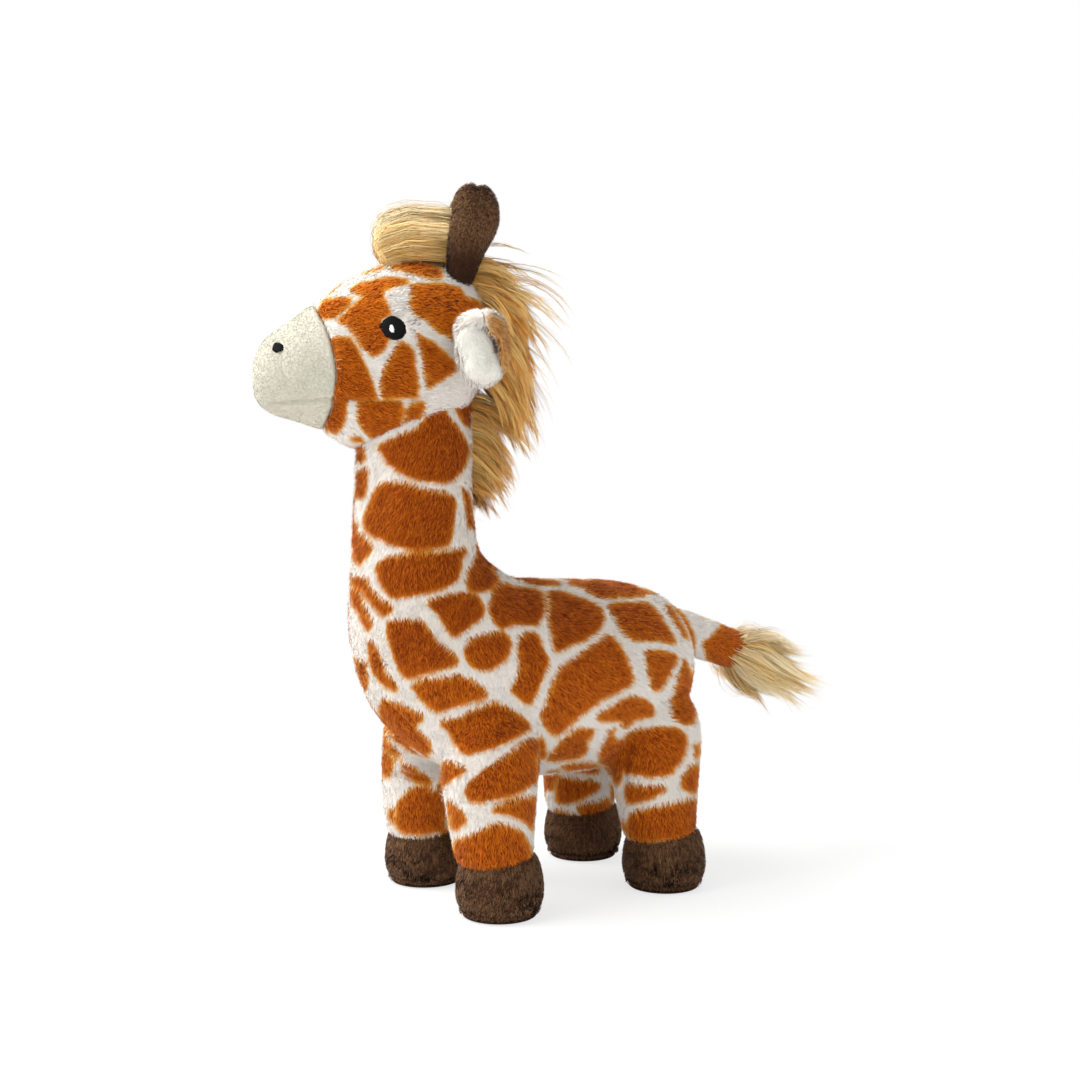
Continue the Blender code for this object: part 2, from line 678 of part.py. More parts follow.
def hair_form(name, rings, parent, *cutters):
    scale = cage_scale(HAIR_SIDES)
    wide = [(middle, across * scale, up * scale) for middle, across, up in rings]
    piece = add_object(name, loft(name, wide, HAIR_SIDES), GOLD, 0.7, parent)
    return cut(smooth(piece), *cutters)


def make_forelock(head, guard):
    """A roll of long hair on the crown, from the horns forward."""
    y, z = head_place(HORN_ALONG_SHARE, HORN_UP_SHARE)
    back = y - HORN_RADIUS
    floor = z + HORN_WAIST * FORELOCK_LIFT_SHARE
    rings = []
    for along, rise, tall, wide in FORELOCK_SHARES:
        middle = Vector((0, back - along * FORELOCK_LENGTH, floor + rise * FORELOCK_HEIGHT))
        across = Vector((FORELOCK_WIDTH / 2 * wide, 0, 0))
        rings.append((middle, across, Vector((0, 0, FORELOCK_HEIGHT / 2 * tall))))
    hair_form("forelock", rings, head, guard)


def mane_rings(shares, back_y, bottom, height):
    """Level rings of a mane that hangs behind the neck: reach and width as shares."""
    rings = []
    for up, start, reach, wide in shares:
        near = min(back_y - start * MANE_REACH, NECK_RADIUS * MANE_ROOT_SHARE)
        far = back_y + reach * MANE_REACH
        middle = Vector((0, (near + far) / 2, bottom + up * height))
        rings.append((middle, Vector((MANE_WIDTH / 2 * wide, 0, 0)), Vector((0, (far - near) / 2, 0))))
    return rings


def neck_guard(name, clearance, parent, seat):
    """The neck's own outline with a clearance, for hair that hangs against it."""
    radius = NECK_RADIUS + clearance
    profile = [(wide, seat + height) for wide, height in ball_profile(radius, pi / 2, 0)]
    profile[0] = (0, seat + radius)
    profile += [(radius, seat - HEAD_LENGTH), (0, seat - HEAD_LENGTH)]
    return as_cutter(add_turned(name, profile, GREY, 1, parent, GUIDES, SEAT_SIDES))


def make_mane(neck, head, guard, horn_seats):
    """The mane in two locks that part on a level plane, where the head turns on the neck."""
    split = NECK_LENGTH - NECK_RADIUS * MANE_SPLIT_SHARE
    bottom = split + GAP - NECK_LENGTH
    back_y = HEAD_BACK_Y - MANE_REACH * MANE_TOP_SINK_SHARE
    rings = mane_rings(MANE_TOP_SHARES, back_y, bottom, HEAD_HEIGHT * MANE_TOP_HEIGHT_SHARE)
    reach = HEAD_LENGTH
    below = box("mane_split", (-reach, -reach, -reach), (reach, reach, bottom), head)
    inner = neck_guard("mane_head_seat", 2 * GAP, head, 0)
    hair_form("mane_head", rings, head, guard, inner, below, *horn_seats)

    low = NECK_RADIUS * MANE_FOOT_SHARE
    rings = mane_rings(MANE_LOW_SHARES, NECK_RADIUS, low, split - low)
    inner = neck_guard("mane_neck_seat", GAP, neck, NECK_LENGTH)
    hair_form("mane_neck", rings, neck, inner)


def stand_on_origin():
    """Moves the whole toy so that its outline's middle is the origin, with the soles on z = 0."""
    bpy.context.view_layer.update()
    graph = bpy.context.evaluated_depsgraph_get()
    corners = []
    for piece in TOY.objects:
        if piece.type == "MESH":
            mesh = piece.evaluated_get(graph).to_mesh()
            corners += [piece.matrix_world @ vertex.co for vertex in mesh.vertices]
    low = Vector([min(corner[axis] for corner in corners) for axis in range(3)])
    high = Vector([max(corner[axis] for corner in corners) for axis in range(3)])
    shift = Vector((-(low.x + high.x) / 2, -(low.y + high.y) / 2, -low.z))
    for piece in list(TOY.objects) + list(GUIDES.objects):
        if piece.parent is None:
            piece.location += shift
    bpy.context.view_layer.update()
    print("size", [round(side, 5) for side in high - low])
    for piece in TOY.objects:
        if piece.type == "EMPTY":
            axis = piece.matrix_world.to_3x3().col
            place = [round(value, 5) for value in piece.matrix_world.translation]
            print(piece.name, place, "x axis", [round(value, 4) for value in axis[0]],
                  "y axis", [round(value, 4) for value in axis[1]])


for old in list(bpy.data.objects):
    bpy.data.objects.remove(old, do_unlink=True)
TOY = collection("plush_giraffe")
GUIDES = collection("cutters_and_guides")

LEGS = (
    ("front_left", 1, HIP_FRONT_Y),
    ("front_right", -1, HIP_FRONT_Y),
    ("rear_left", 1, HIP_REAR_Y),
    ("rear_right", -1, HIP_REAR_Y),
)
seats = [make_leg(*leg) for leg in LEGS]
neck_root = make_neck()
neck_rim = NECK_LEAN * NECK_RIM_SHARE
neck_seat = cup_cutter("neck_seat", NECK_RADIUS, neck_rim, TORSO_WIDTH, NECK_LENGTH, neck_root)
neck_seat.rotation_euler = (pi, 0, 0)
seats += [neck_seat, make_tail()]
make_torso(seats)

head_root, head_guard = make_head(neck_root)
SIDES = (("left", 1), ("right", -1))
horn_seats = [make_horn(name, side, head_root) for name, side in SIDES]
for solid in ("head_cover", "head_filling"):
    cut(bpy.data.objects[solid], *horn_seats)
for name, side in SIDES:
    make_ear(name, side, head_root)
make_face(head_root, head_guard)
make_forelock(head_root, head_guard)
make_mane(neck_root, head_root, head_guard, horn_seats)
stand_on_origin()
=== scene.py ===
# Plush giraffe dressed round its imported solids: printed plush, short fleece, long hair, stitched face.
# Tables are in millimetres in the toy's own frame: X is its left, -Y ahead, the origin between its
# soles. A finished mesh is brought to the shared frame, in metres, as its last step.
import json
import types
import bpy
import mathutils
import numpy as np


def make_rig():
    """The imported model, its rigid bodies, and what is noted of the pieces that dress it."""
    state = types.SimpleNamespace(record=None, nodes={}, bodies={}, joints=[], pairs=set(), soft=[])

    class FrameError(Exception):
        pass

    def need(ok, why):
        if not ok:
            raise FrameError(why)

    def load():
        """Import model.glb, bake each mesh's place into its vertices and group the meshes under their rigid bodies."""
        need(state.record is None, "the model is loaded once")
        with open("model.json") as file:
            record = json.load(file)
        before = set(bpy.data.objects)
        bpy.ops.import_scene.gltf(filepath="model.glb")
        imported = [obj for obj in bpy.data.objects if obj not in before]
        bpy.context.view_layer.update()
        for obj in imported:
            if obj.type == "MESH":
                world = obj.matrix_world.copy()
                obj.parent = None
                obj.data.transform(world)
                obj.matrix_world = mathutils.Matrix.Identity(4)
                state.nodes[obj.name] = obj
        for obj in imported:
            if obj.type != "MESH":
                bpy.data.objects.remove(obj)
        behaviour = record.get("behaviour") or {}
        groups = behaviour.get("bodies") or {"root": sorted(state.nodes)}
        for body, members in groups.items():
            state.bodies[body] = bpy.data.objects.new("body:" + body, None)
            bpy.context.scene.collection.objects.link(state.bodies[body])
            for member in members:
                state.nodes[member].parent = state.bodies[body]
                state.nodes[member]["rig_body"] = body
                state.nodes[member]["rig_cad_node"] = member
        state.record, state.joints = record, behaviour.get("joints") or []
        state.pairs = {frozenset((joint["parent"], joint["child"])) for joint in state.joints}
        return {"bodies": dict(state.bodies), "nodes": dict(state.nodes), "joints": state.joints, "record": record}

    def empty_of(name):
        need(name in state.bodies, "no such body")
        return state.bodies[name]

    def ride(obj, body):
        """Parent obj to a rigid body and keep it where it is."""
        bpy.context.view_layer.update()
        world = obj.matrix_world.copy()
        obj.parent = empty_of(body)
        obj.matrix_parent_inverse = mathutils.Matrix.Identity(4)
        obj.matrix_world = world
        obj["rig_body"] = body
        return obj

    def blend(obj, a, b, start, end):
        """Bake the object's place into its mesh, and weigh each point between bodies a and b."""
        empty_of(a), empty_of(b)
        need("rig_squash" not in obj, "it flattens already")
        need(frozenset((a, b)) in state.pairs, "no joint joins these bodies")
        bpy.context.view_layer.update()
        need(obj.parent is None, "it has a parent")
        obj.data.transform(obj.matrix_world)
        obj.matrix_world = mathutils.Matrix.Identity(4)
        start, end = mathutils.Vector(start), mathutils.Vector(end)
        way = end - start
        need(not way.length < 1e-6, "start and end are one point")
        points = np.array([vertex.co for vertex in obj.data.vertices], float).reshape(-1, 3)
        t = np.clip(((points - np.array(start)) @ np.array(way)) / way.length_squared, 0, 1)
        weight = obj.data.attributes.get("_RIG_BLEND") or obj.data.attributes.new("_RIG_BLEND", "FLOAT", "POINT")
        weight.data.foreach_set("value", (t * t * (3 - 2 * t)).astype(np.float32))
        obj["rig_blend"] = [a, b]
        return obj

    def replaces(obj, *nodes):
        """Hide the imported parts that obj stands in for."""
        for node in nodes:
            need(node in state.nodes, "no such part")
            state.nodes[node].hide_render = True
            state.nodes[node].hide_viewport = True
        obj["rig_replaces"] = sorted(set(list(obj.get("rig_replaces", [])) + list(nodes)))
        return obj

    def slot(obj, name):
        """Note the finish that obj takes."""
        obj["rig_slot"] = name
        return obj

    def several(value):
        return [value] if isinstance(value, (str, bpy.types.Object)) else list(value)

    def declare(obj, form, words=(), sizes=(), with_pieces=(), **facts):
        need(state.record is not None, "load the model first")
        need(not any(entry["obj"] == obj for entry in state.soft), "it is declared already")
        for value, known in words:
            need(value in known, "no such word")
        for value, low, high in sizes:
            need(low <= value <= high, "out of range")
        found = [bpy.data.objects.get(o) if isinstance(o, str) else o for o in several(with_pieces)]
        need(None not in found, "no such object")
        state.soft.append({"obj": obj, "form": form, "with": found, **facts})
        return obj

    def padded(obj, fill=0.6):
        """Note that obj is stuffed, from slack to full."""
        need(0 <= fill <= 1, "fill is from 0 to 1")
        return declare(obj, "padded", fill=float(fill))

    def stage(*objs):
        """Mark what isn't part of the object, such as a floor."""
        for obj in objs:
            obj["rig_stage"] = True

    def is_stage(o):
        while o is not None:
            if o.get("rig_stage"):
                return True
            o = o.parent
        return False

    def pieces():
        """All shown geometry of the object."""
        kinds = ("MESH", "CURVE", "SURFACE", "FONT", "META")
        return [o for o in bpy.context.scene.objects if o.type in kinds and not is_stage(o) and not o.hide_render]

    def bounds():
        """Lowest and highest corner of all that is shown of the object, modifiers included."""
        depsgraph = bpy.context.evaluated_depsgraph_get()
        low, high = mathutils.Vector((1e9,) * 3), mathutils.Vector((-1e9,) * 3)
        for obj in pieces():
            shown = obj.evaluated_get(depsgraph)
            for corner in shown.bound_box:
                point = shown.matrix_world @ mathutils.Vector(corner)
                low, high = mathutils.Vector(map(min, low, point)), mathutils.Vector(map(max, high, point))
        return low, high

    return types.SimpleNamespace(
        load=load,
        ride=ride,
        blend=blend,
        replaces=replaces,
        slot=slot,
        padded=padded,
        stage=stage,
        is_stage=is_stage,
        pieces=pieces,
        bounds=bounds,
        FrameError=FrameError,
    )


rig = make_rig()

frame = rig.load()

import json
from math import cos, radians, sin, tau

import bmesh
import bpy
import numpy as np
from mathutils import Matrix, Vector
from mathutils.bvhtree import BVHTree
from mathutils.kdtree import KDTree

SIZE_FILE = "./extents.json"
cad_box = [list(corner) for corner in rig.bounds()]

# Where the toy stands in the shared frame, and how its head is held
MM = 0.001
STAND = Vector((-0.98, -22.99, 0))
TOY = Matrix.Scale(MM, 4) @ Matrix.Translation(STAND)
HEAD_SEAT = Vector((0, -62.79, 210.49))
HEAD_TURN = radians(-25)
HEAD = Matrix.Translation(HEAD_SEAT) @ Matrix.Rotation(HEAD_TURN, 4, "Z")

# The photograph's view
PHOTO_SIDE = 1080
VIEW_YAW = radians(57.8)
VIEW_AWAY = 700
VIEW_HEIGHT = 192
AIM_HEIGHT = 150
FOCUS = 1608               # focal length in pixels of the photograph
CENTRE = (543, 543.5)      # where the line of sight meets it
PIXEL = 0.4353             # millimetres per pixel at the toy
EYE = Vector((sin(VIEW_YAW) * VIEW_AWAY, -cos(VIEW_YAW) * VIEW_AWAY, VIEW_HEIGHT))
AHEAD = (Vector((0, 0, AIM_HEIGHT)) - EYE).normalized()
RIGHTWARD = AHEAD.cross((0, 0, 1)).normalized()
UPWARD = RIGHTWARD.cross(AHEAD)


def traced(*numbers):
    """Pairs of pixels from a flat row of numbers."""
    return tuple(zip(numbers[::2], numbers[1::2]))


# Outlines of the printed patches, traced in pixels of the photograph
HEAD_PATCHES = {
    "nose_bridge": traced(318, 310, 322, 303, 329, 300, 341, 298, 351, 299, 348, 305, 341, 312, 333, 318,
        327, 320, 321, 316),
    "round_the_eye": traced(336, 321, 343, 315, 350, 307, 356, 303, 360, 299, 356, 296, 349, 293, 351, 289,
        357, 285, 369, 282, 380, 279, 393, 278, 405, 280, 408, 284, 400, 286, 391, 289, 382, 292, 384, 300,
        387, 307, 390, 314, 381, 319, 381, 324, 384, 331, 388, 339, 386, 344, 380, 353, 373, 356, 367, 353,
        360, 347, 355, 341, 352, 336, 349, 330, 343, 326),
    "cheek_front": traced(331, 339, 337, 336, 349, 338, 353, 343, 357, 350, 362, 359, 366, 367, 370, 379,
        373, 387, 376, 396, 371, 400, 357, 400, 346, 399, 346, 409, 344, 419, 341, 427, 336, 432, 327, 429,
        321, 424, 329, 416, 331, 407, 334, 393, 335, 379, 335, 364, 333, 350),
    "cheek_middle": traced(397, 341, 405, 342, 409, 347, 413, 354, 414, 364, 416, 374, 417, 386, 416, 397,
        381, 398, 379, 387, 379, 379, 383, 367, 387, 360, 391, 351, 394, 345),
    "jaw": traced(356, 401, 372, 398, 388, 398, 400, 401, 403, 410, 400, 419, 399, 427, 393, 434, 386, 439,
        377, 441, 369, 437, 361, 429, 356, 419, 356, 409),
    "jaw_behind": traced(406, 405, 414, 402, 423, 402, 423, 409, 419, 416, 413, 425, 406, 429, 402, 424,
        404, 414),
    "before_ear": traced(416, 331, 421, 336, 431, 341, 440, 349, 449, 356, 454, 363, 454, 370, 450, 374,
        440, 380, 433, 384, 427, 389, 424, 386, 423, 376, 421, 364, 418, 350, 416, 341),
    "temple": traced(408, 286, 414, 284, 423, 284, 434, 283, 444, 284, 453, 286, 460, 288, 464, 296, 471,
        297, 479, 301, 482, 307, 471, 309, 460, 313, 454, 320, 455, 330, 455, 341, 451, 341, 447, 337, 440,
        334, 434, 331, 431, 326, 423, 320, 414, 316, 409, 311, 407, 303, 409, 294),
    "crown": traced(390, 266, 399, 263, 414, 261, 426, 263, 436, 267, 441, 273, 440, 279, 433, 280, 424,
        279, 417, 277, 409, 275, 399, 272, 389, 271),
    "crown_front": traced(349, 280, 354, 276, 363, 270, 371, 265, 380, 263, 384, 264, 382, 270, 374, 273,
        366, 275, 357, 277),
    "bridge": traced(339, 286, 330, 291, 320, 298, 311, 306, 318, 304, 326, 298, 334, 292),
    "chin": traced(306, 424, 313, 425, 322, 430, 315, 431),
    "under_jaw": traced(348, 436, 354, 434, 361, 437, 362, 441, 352, 440),
}
BODY_PATCHES = {
    "throat": traced(379, 444, 387, 439, 397, 434, 407, 430, 417, 427, 424, 419, 430, 407, 440, 403, 446,
        408, 450, 416, 457, 424, 463, 434, 467, 443, 468, 451, 466, 461, 461, 471, 453, 479, 443, 482, 431,
        481, 420, 479, 409, 476, 400, 471, 391, 464, 384, 456),
    "nape": traced(449, 399, 453, 395, 461, 398, 470, 399, 474, 404, 476, 414, 475, 421, 470, 427, 464, 424,
        460, 417, 456, 409, 449, 402),
    "neck_upper": traced(364, 519, 366, 511, 370, 501, 374, 491, 379, 483, 387, 480, 400, 480, 411, 482,
        421, 486, 433, 489, 446, 490, 453, 494, 456, 501, 455, 511, 454, 523, 452, 534, 449, 543, 440, 546,
        429, 548, 417, 549, 404, 547, 393, 544, 381, 538, 371, 533, 366, 527),
    "neck_lower": traced(376, 566, 381, 559, 390, 554, 403, 553, 417, 551, 431, 550, 446, 549, 457, 547,
        464, 545, 466, 550, 461, 559, 460, 570, 457, 579, 449, 585, 437, 589, 426, 592, 411, 595, 397, 597,
        390, 595, 383, 586, 378, 576),
    "neck_front_a": traced(355, 443, 361, 443, 366, 447, 367, 454, 366, 459, 359, 460, 355, 454),
    "neck_front_b": traced(356, 470, 361, 468, 367, 466, 370, 471, 369, 481, 368, 490, 364, 497, 356, 496),
    "neck_front_c": traced(354, 513, 359, 523, 361, 531, 367, 536, 372, 541, 374, 547, 370, 554, 364, 560,
        361, 564, 356, 559, 352, 551, 350, 539, 351, 524),
    "neck_back_a": traced(461, 486, 467, 490, 470, 499, 470, 509, 472, 524, 467, 528, 466, 515, 464, 501),
    "neck_back_b": traced(474, 544, 477, 547, 483, 559, 489, 567, 496, 576, 497, 581, 490, 589, 480, 591,
        471, 591, 466, 587, 464, 580, 466, 570, 471, 563, 474, 554),
    "chest_a": traced(359, 573, 369, 577, 374, 589, 381, 597, 389, 601, 394, 605, 392, 611, 384, 615, 379,
        611, 373, 604, 367, 596, 363, 589, 354, 584, 353, 576),
    "chest_b": traced(351, 586, 359, 587, 364, 596, 364, 601, 369, 611, 374, 620, 372, 627, 367, 629, 364,
        623, 360, 613, 354, 603, 350, 593),
    "shoulder_a": traced(425, 602, 431, 597, 443, 594, 457, 591, 469, 591, 476, 593, 481, 600, 484, 609,
        481, 617, 473, 623, 464, 630, 454, 636, 450, 633, 445, 626, 440, 617, 434, 610),
    "shoulder_b": traced(489, 597, 491, 590, 497, 583, 504, 582, 511, 586, 524, 588, 536, 590, 541, 596,
        543, 606, 541, 617, 536, 625, 523, 624, 511, 624, 501, 629, 494, 623, 489, 614, 487, 606),
    "shoulder_c": traced(463, 647, 467, 639, 476, 634, 489, 631, 503, 631, 509, 636, 510, 646, 507, 656,
        500, 663, 491, 668, 481, 669, 471, 666, 466, 659),
    "chest_c": traced(387, 620, 396, 618, 420, 618, 426, 624, 433, 634, 443, 643, 453, 651, 459, 657, 457,
        663, 446, 667, 429, 671, 414, 676, 404, 676, 399, 669, 394, 657, 391, 646, 387, 633),
    "chest_d": traced(368, 639, 374, 640, 379, 649, 382, 659, 387, 670, 394, 679, 399, 686, 396, 689, 387,
        686, 379, 680, 373, 671, 370, 661, 369, 650),
    "chest_e": traced(357, 655, 361, 659, 367, 661, 367, 670, 369, 679, 367, 687, 363, 690, 359, 679, 356,
        667),
    "chest_f": traced(410, 684, 417, 679, 431, 676, 449, 674, 460, 673, 469, 676, 480, 683, 487, 689, 487,
        696, 477, 699, 463, 703, 449, 708, 437, 711, 429, 706, 420, 697),
    "side_front": traced(439, 720, 446, 717, 459, 714, 469, 709, 480, 704, 494, 699, 503, 702, 511, 707,
        521, 714, 529, 723, 528, 729, 520, 734, 509, 740, 497, 746, 483, 750, 469, 754, 461, 751, 456, 743,
        449, 731, 441, 724),
    "chest_g": traced(383, 694, 393, 699, 403, 702, 414, 707, 424, 713, 423, 719, 416, 723, 421, 730, 429,
        737, 432, 744, 431, 751, 420, 753, 409, 749, 397, 741, 389, 730, 381, 717, 378, 706),
    "chest_h": traced(379, 724, 386, 729, 390, 739, 397, 749, 403, 758, 397, 755, 390, 750, 381, 747, 380,
        734),
    "chest_i": traced(380, 751, 387, 750, 396, 757, 394, 766, 390, 776, 381, 772),
    "side_strip": traced(517, 636, 524, 631, 533, 630, 539, 637, 541, 646, 547, 656, 548, 663, 544, 671,
        540, 683, 536, 693, 530, 703, 526, 703, 517, 696, 509, 689, 511, 684, 516, 676, 518, 667, 517, 656,
        516, 646),
    "back_a": traced(521, 581, 531, 579, 549, 580, 557, 583, 556, 586, 547, 587, 534, 586, 524, 584),
    "back_b": traced(544, 593, 551, 591, 561, 592, 571, 596, 583, 600, 593, 604, 599, 610, 603, 617, 600,
        626, 593, 633, 583, 640, 571, 644, 560, 650, 553, 651, 550, 641, 548, 630, 546, 617, 546, 603),
    "back_c": traced(564, 584, 571, 582, 580, 580, 593, 580, 609, 581, 626, 581, 633, 584, 643, 590, 650,
        594, 643, 597, 629, 598, 614, 599, 600, 599, 590, 596, 580, 590, 571, 587),
    "back_d": traced(606, 605, 614, 603, 629, 603, 643, 602, 651, 607, 659, 616, 664, 624, 670, 633, 674,
        641, 670, 644, 657, 641, 643, 640, 629, 640, 624, 637, 617, 629, 613, 619, 607, 610),
    "flank": traced(606, 633, 611, 637, 619, 646, 624, 654, 627, 664, 631, 674, 631, 683, 621, 689, 610,
        694, 600, 699, 591, 707, 580, 714, 570, 723, 563, 730, 556, 734, 547, 730, 541, 721, 539, 714, 543,
        707, 546, 696, 549, 684, 553, 676, 560, 664, 569, 659, 577, 653, 587, 646, 597, 639),
    "rump_a": traced(642, 650, 651, 649, 664, 651, 674, 653, 676, 657, 673, 664, 669, 673, 664, 681, 659,
        689, 651, 690, 648, 684, 646, 673, 643, 661),
    "rump_b": traced(681, 657, 685, 660, 690, 673, 694, 683, 697, 691, 695, 707, 692, 723, 684, 724, 674,
        721, 669, 714, 669, 699, 673, 687, 676, 674, 679, 663),
    "rump_c": traced(662, 604, 668, 607, 674, 614, 679, 622, 684, 631, 686, 640, 681, 637, 676, 629, 670,
        619, 664, 611),
    "thigh_a": traced(594, 717, 599, 710, 609, 704, 620, 697, 631, 694, 640, 696, 649, 701, 654, 710, 651,
        716, 640, 717, 631, 721, 626, 726, 620, 726, 621, 720, 609, 720, 599, 720),
    "flank_low": traced(576, 726, 586, 726, 594, 729, 590, 736, 586, 740, 586, 746, 587, 750, 581, 755, 569,
        758, 554, 760, 546, 759, 550, 750, 557, 741, 566, 733),
    "thigh_b": traced(607.5, 729, 615, 726, 611, 734, 615, 738, 622.5, 736, 627.5, 730, 632, 729, 640, 727,
        652, 726, 665, 726, 675, 727, 681, 730, 685, 735, 686, 742, 684, 751, 681, 759, 675, 766, 671, 772,
        664, 775, 652, 776, 640, 774, 627, 772, 623, 770, 622, 777, 620, 784, 615, 780, 610, 774, 604, 765,
        597, 760, 597, 752, 600, 745),
    "thigh_c": traced(626, 782, 640, 783, 652, 784, 665, 784, 667, 787, 662, 791, 655, 796, 647, 799, 637,
        801, 627, 802, 626, 795),
    "thigh_d": traced(680, 775, 685, 767, 691, 763, 699, 762, 700, 771, 699, 782, 697, 790, 689, 791, 684,
        789, 679, 784),
    "rear_left_cuff": traced(630, 810, 637, 809, 647, 806, 660, 804, 675, 800, 685, 798, 698, 796, 701, 805,
        704, 815, 705, 825, 699, 831, 690, 834, 677, 838, 665, 838, 652, 840, 640, 841, 629, 835, 627, 824,
        629, 815),
    "rear_left_edge": traced(616, 821, 622, 818, 627, 820, 629, 827, 627, 833, 621, 838, 617, 832),
    "rump_edge": traced(692, 744, 697, 740, 698, 752, 694, 759, 692, 751),
    "rear_right_a": traced(561, 774, 569, 775, 577, 777, 590, 778, 599, 780, 600, 785, 596, 790, 587, 795,
        577, 800, 569, 802, 559, 802, 556, 797, 556, 790, 557, 780),
    "rear_right_b": traced(545, 770, 554, 768, 559, 767, 560, 772, 556, 779, 555, 786, 552, 789, 545, 788,
        543, 782, 543, 775),
    "rear_right_c": traced(559, 764, 570, 761, 582, 760, 592, 761, 598, 764, 600, 769, 595, 772, 585, 772,
        575, 770, 565, 768),
    "rear_right_d": traced(576, 806, 582, 802, 590, 801, 596, 800, 602, 797, 607, 795, 611, 802, 617, 810,
        617, 818, 603, 823, 594, 823, 586, 820, 580, 813),
    "rear_right_e": traced(554, 807, 562, 808, 570, 811, 579, 815, 576, 820, 562, 819, 554, 815),
    "rear_right_f": traced(609, 780, 615, 786, 618, 795, 616, 802, 611, 801, 610, 791),
    "front_left_a": traced(511, 749, 520, 741, 529, 737, 535, 737, 540, 733, 543, 735, 545, 744, 546, 752,
        543, 757, 537, 758, 535, 755, 536, 762, 538, 770, 538, 780, 531, 784, 525, 787, 520, 791, 512, 794,
        505, 796, 495, 798, 485, 800, 479, 801, 472, 800, 467, 797, 465, 792, 466, 786, 470, 780, 477, 776,
        481, 771, 487, 766, 495, 761, 504, 754),
    "front_left_b": traced(441, 764, 447, 759, 454, 761, 462, 764, 469, 768, 464, 772, 455, 777, 445, 784,
        441, 779, 441, 771),
    "front_left_c": traced(439, 779, 442, 784, 444, 794, 450, 805, 452, 812, 449, 819, 444, 817, 439, 805,
        437, 795, 436, 787),
    "front_left_d": traced(446, 797, 451, 799, 457, 804, 464, 810, 468, 819, 462, 824, 458, 829, 453, 827,
        451, 821, 452, 812, 447, 805),
    "front_left_e": traced(491, 807, 495, 804, 505, 800, 517, 797, 530, 794, 538, 791, 537, 800, 535, 810,
        534, 820, 530, 828, 524, 820, 512, 815, 505, 813, 495, 812),
    "front_left_cuff": traced(456, 837, 465, 834, 475, 831, 484, 826, 490, 822, 499, 821, 510, 823, 519,
        827, 525, 835, 529, 843, 530, 853, 528, 864, 515, 870, 505, 873, 495, 877, 484, 879, 475, 878, 466,
        876, 457, 870, 456, 860, 455, 852, 454, 844),
    "front_left_edge": traced(442, 825, 450, 826, 452, 834, 454, 843, 455, 852, 454, 858, 445, 855, 443,
        845, 441, 836),
    "front_right_a": traced(402, 762, 408, 762, 414, 765, 422, 770, 428, 774, 432, 780, 432, 783, 426, 782,
        417, 781, 408, 777, 402, 770),
    "front_right_b": traced(404, 793, 408, 788, 414, 784, 421, 784, 428, 784, 434, 788, 440, 792, 442, 802,
        444, 812, 444, 822, 444, 830, 432, 831, 423, 833, 414, 833, 405, 832, 399, 828, 395, 821, 396, 812,
        397, 804, 400, 797),
    "front_right_c": traced(402, 838, 410, 839, 420, 839, 430, 837, 444, 835, 446, 846, 437, 847, 428, 848,
        419, 849, 410, 848, 404, 845),
    "front_right_d": traced(390, 804, 395, 807, 395, 818, 393, 822, 389, 815),
}
TAIL_PATCHES = {
    "tail_root": traced(661, 604, 656, 596, 663, 596, 669, 601, 672, 606, 678, 612, 683, 617, 687, 623, 690,
        629, 693, 635, 693, 643, 692, 654, 687, 652, 683, 645, 681, 637, 679, 629, 676, 623, 670, 615, 665,
        609),
    "tail_top": traced(690, 606, 698, 608, 702, 612, 710, 615, 716, 618, 712, 620, 708, 619, 702, 619, 699,
        616, 694, 612),
    "tail_end": traced(719, 625, 722, 621, 728, 621, 735, 624, 745, 628, 748, 640, 742, 655, 733, 668, 721,
        670, 713, 668, 706, 662, 704, 656, 703, 650, 700, 644, 703, 640, 710, 635, 715, 629),
}
# ---------------------------------------------------------------- shapes

def cage_scale(sides):
    """How much wider a cage of so many sides is than the round skin it becomes."""
    return 3 / (2 + cos(tau / sides))


def worked(bm, kind, **settings):
    """The mesh after one modifier has worked on it."""
    mesh = bpy.data.meshes.new("work")
    bm.to_mesh(mesh)
    bm.free()
    piece = bpy.data.objects.new("work", mesh)
    bpy.context.scene.collection.objects.link(piece)
    modifier = piece.modifiers.new("work", kind)
    for name, value in settings.items():
        setattr(modifier, name, value)
    graph = bpy.context.evaluated_depsgraph_get()
    result = bmesh.new()
    result.from_mesh(piece.evaluated_get(graph).to_mesh())
    bpy.data.objects.remove(piece)
    bpy.data.meshes.remove(mesh)
    return result


def ring_place(middle, across, up):
    turn = Matrix((across, up, across.cross(up).normalized())).transposed().to_4x4()
    return Matrix.Translation(middle) @ turn


def loft(rings, sides=20, levels=2):
    """A circle drawn out from ring to ring (middle, across, up), capped and rounded off."""
    bm = bmesh.new()
    scale = cage_scale(sides)
    places = [ring_place(middle, across * scale, up * scale) for middle, across, up in rings]
    bmesh.ops.create_circle(bm, cap_ends=False, radius=1, segments=sides, matrix=places[0])
    first = rim = bm.edges[:]
    for before, after in zip(places, places[1:]):
        drawn = bmesh.ops.extrude_edge_only(bm, edges=rim)["geom"]
        fresh = [part for part in drawn if isinstance(part, bmesh.types.BMVert)]
        bmesh.ops.transform(bm, matrix=after @ before.inverted(), verts=fresh)
        new = set(fresh)
        rim = [part for part in drawn
               if isinstance(part, bmesh.types.BMEdge) and set(part.verts) <= new]
    for end in (first, rim):
        bmesh.ops.edgeloop_fill(bm, edges=end)
    bmesh.ops.recalc_face_normals(bm, faces=bm.faces)
    return worked(bm, "SUBSURF", levels=levels, render_levels=levels)


def level_ring(x, y, z, radius, deep=None):
    return Vector((x, y, z)), Vector((radius, 0, 0)), Vector((0, deep or radius, 0))


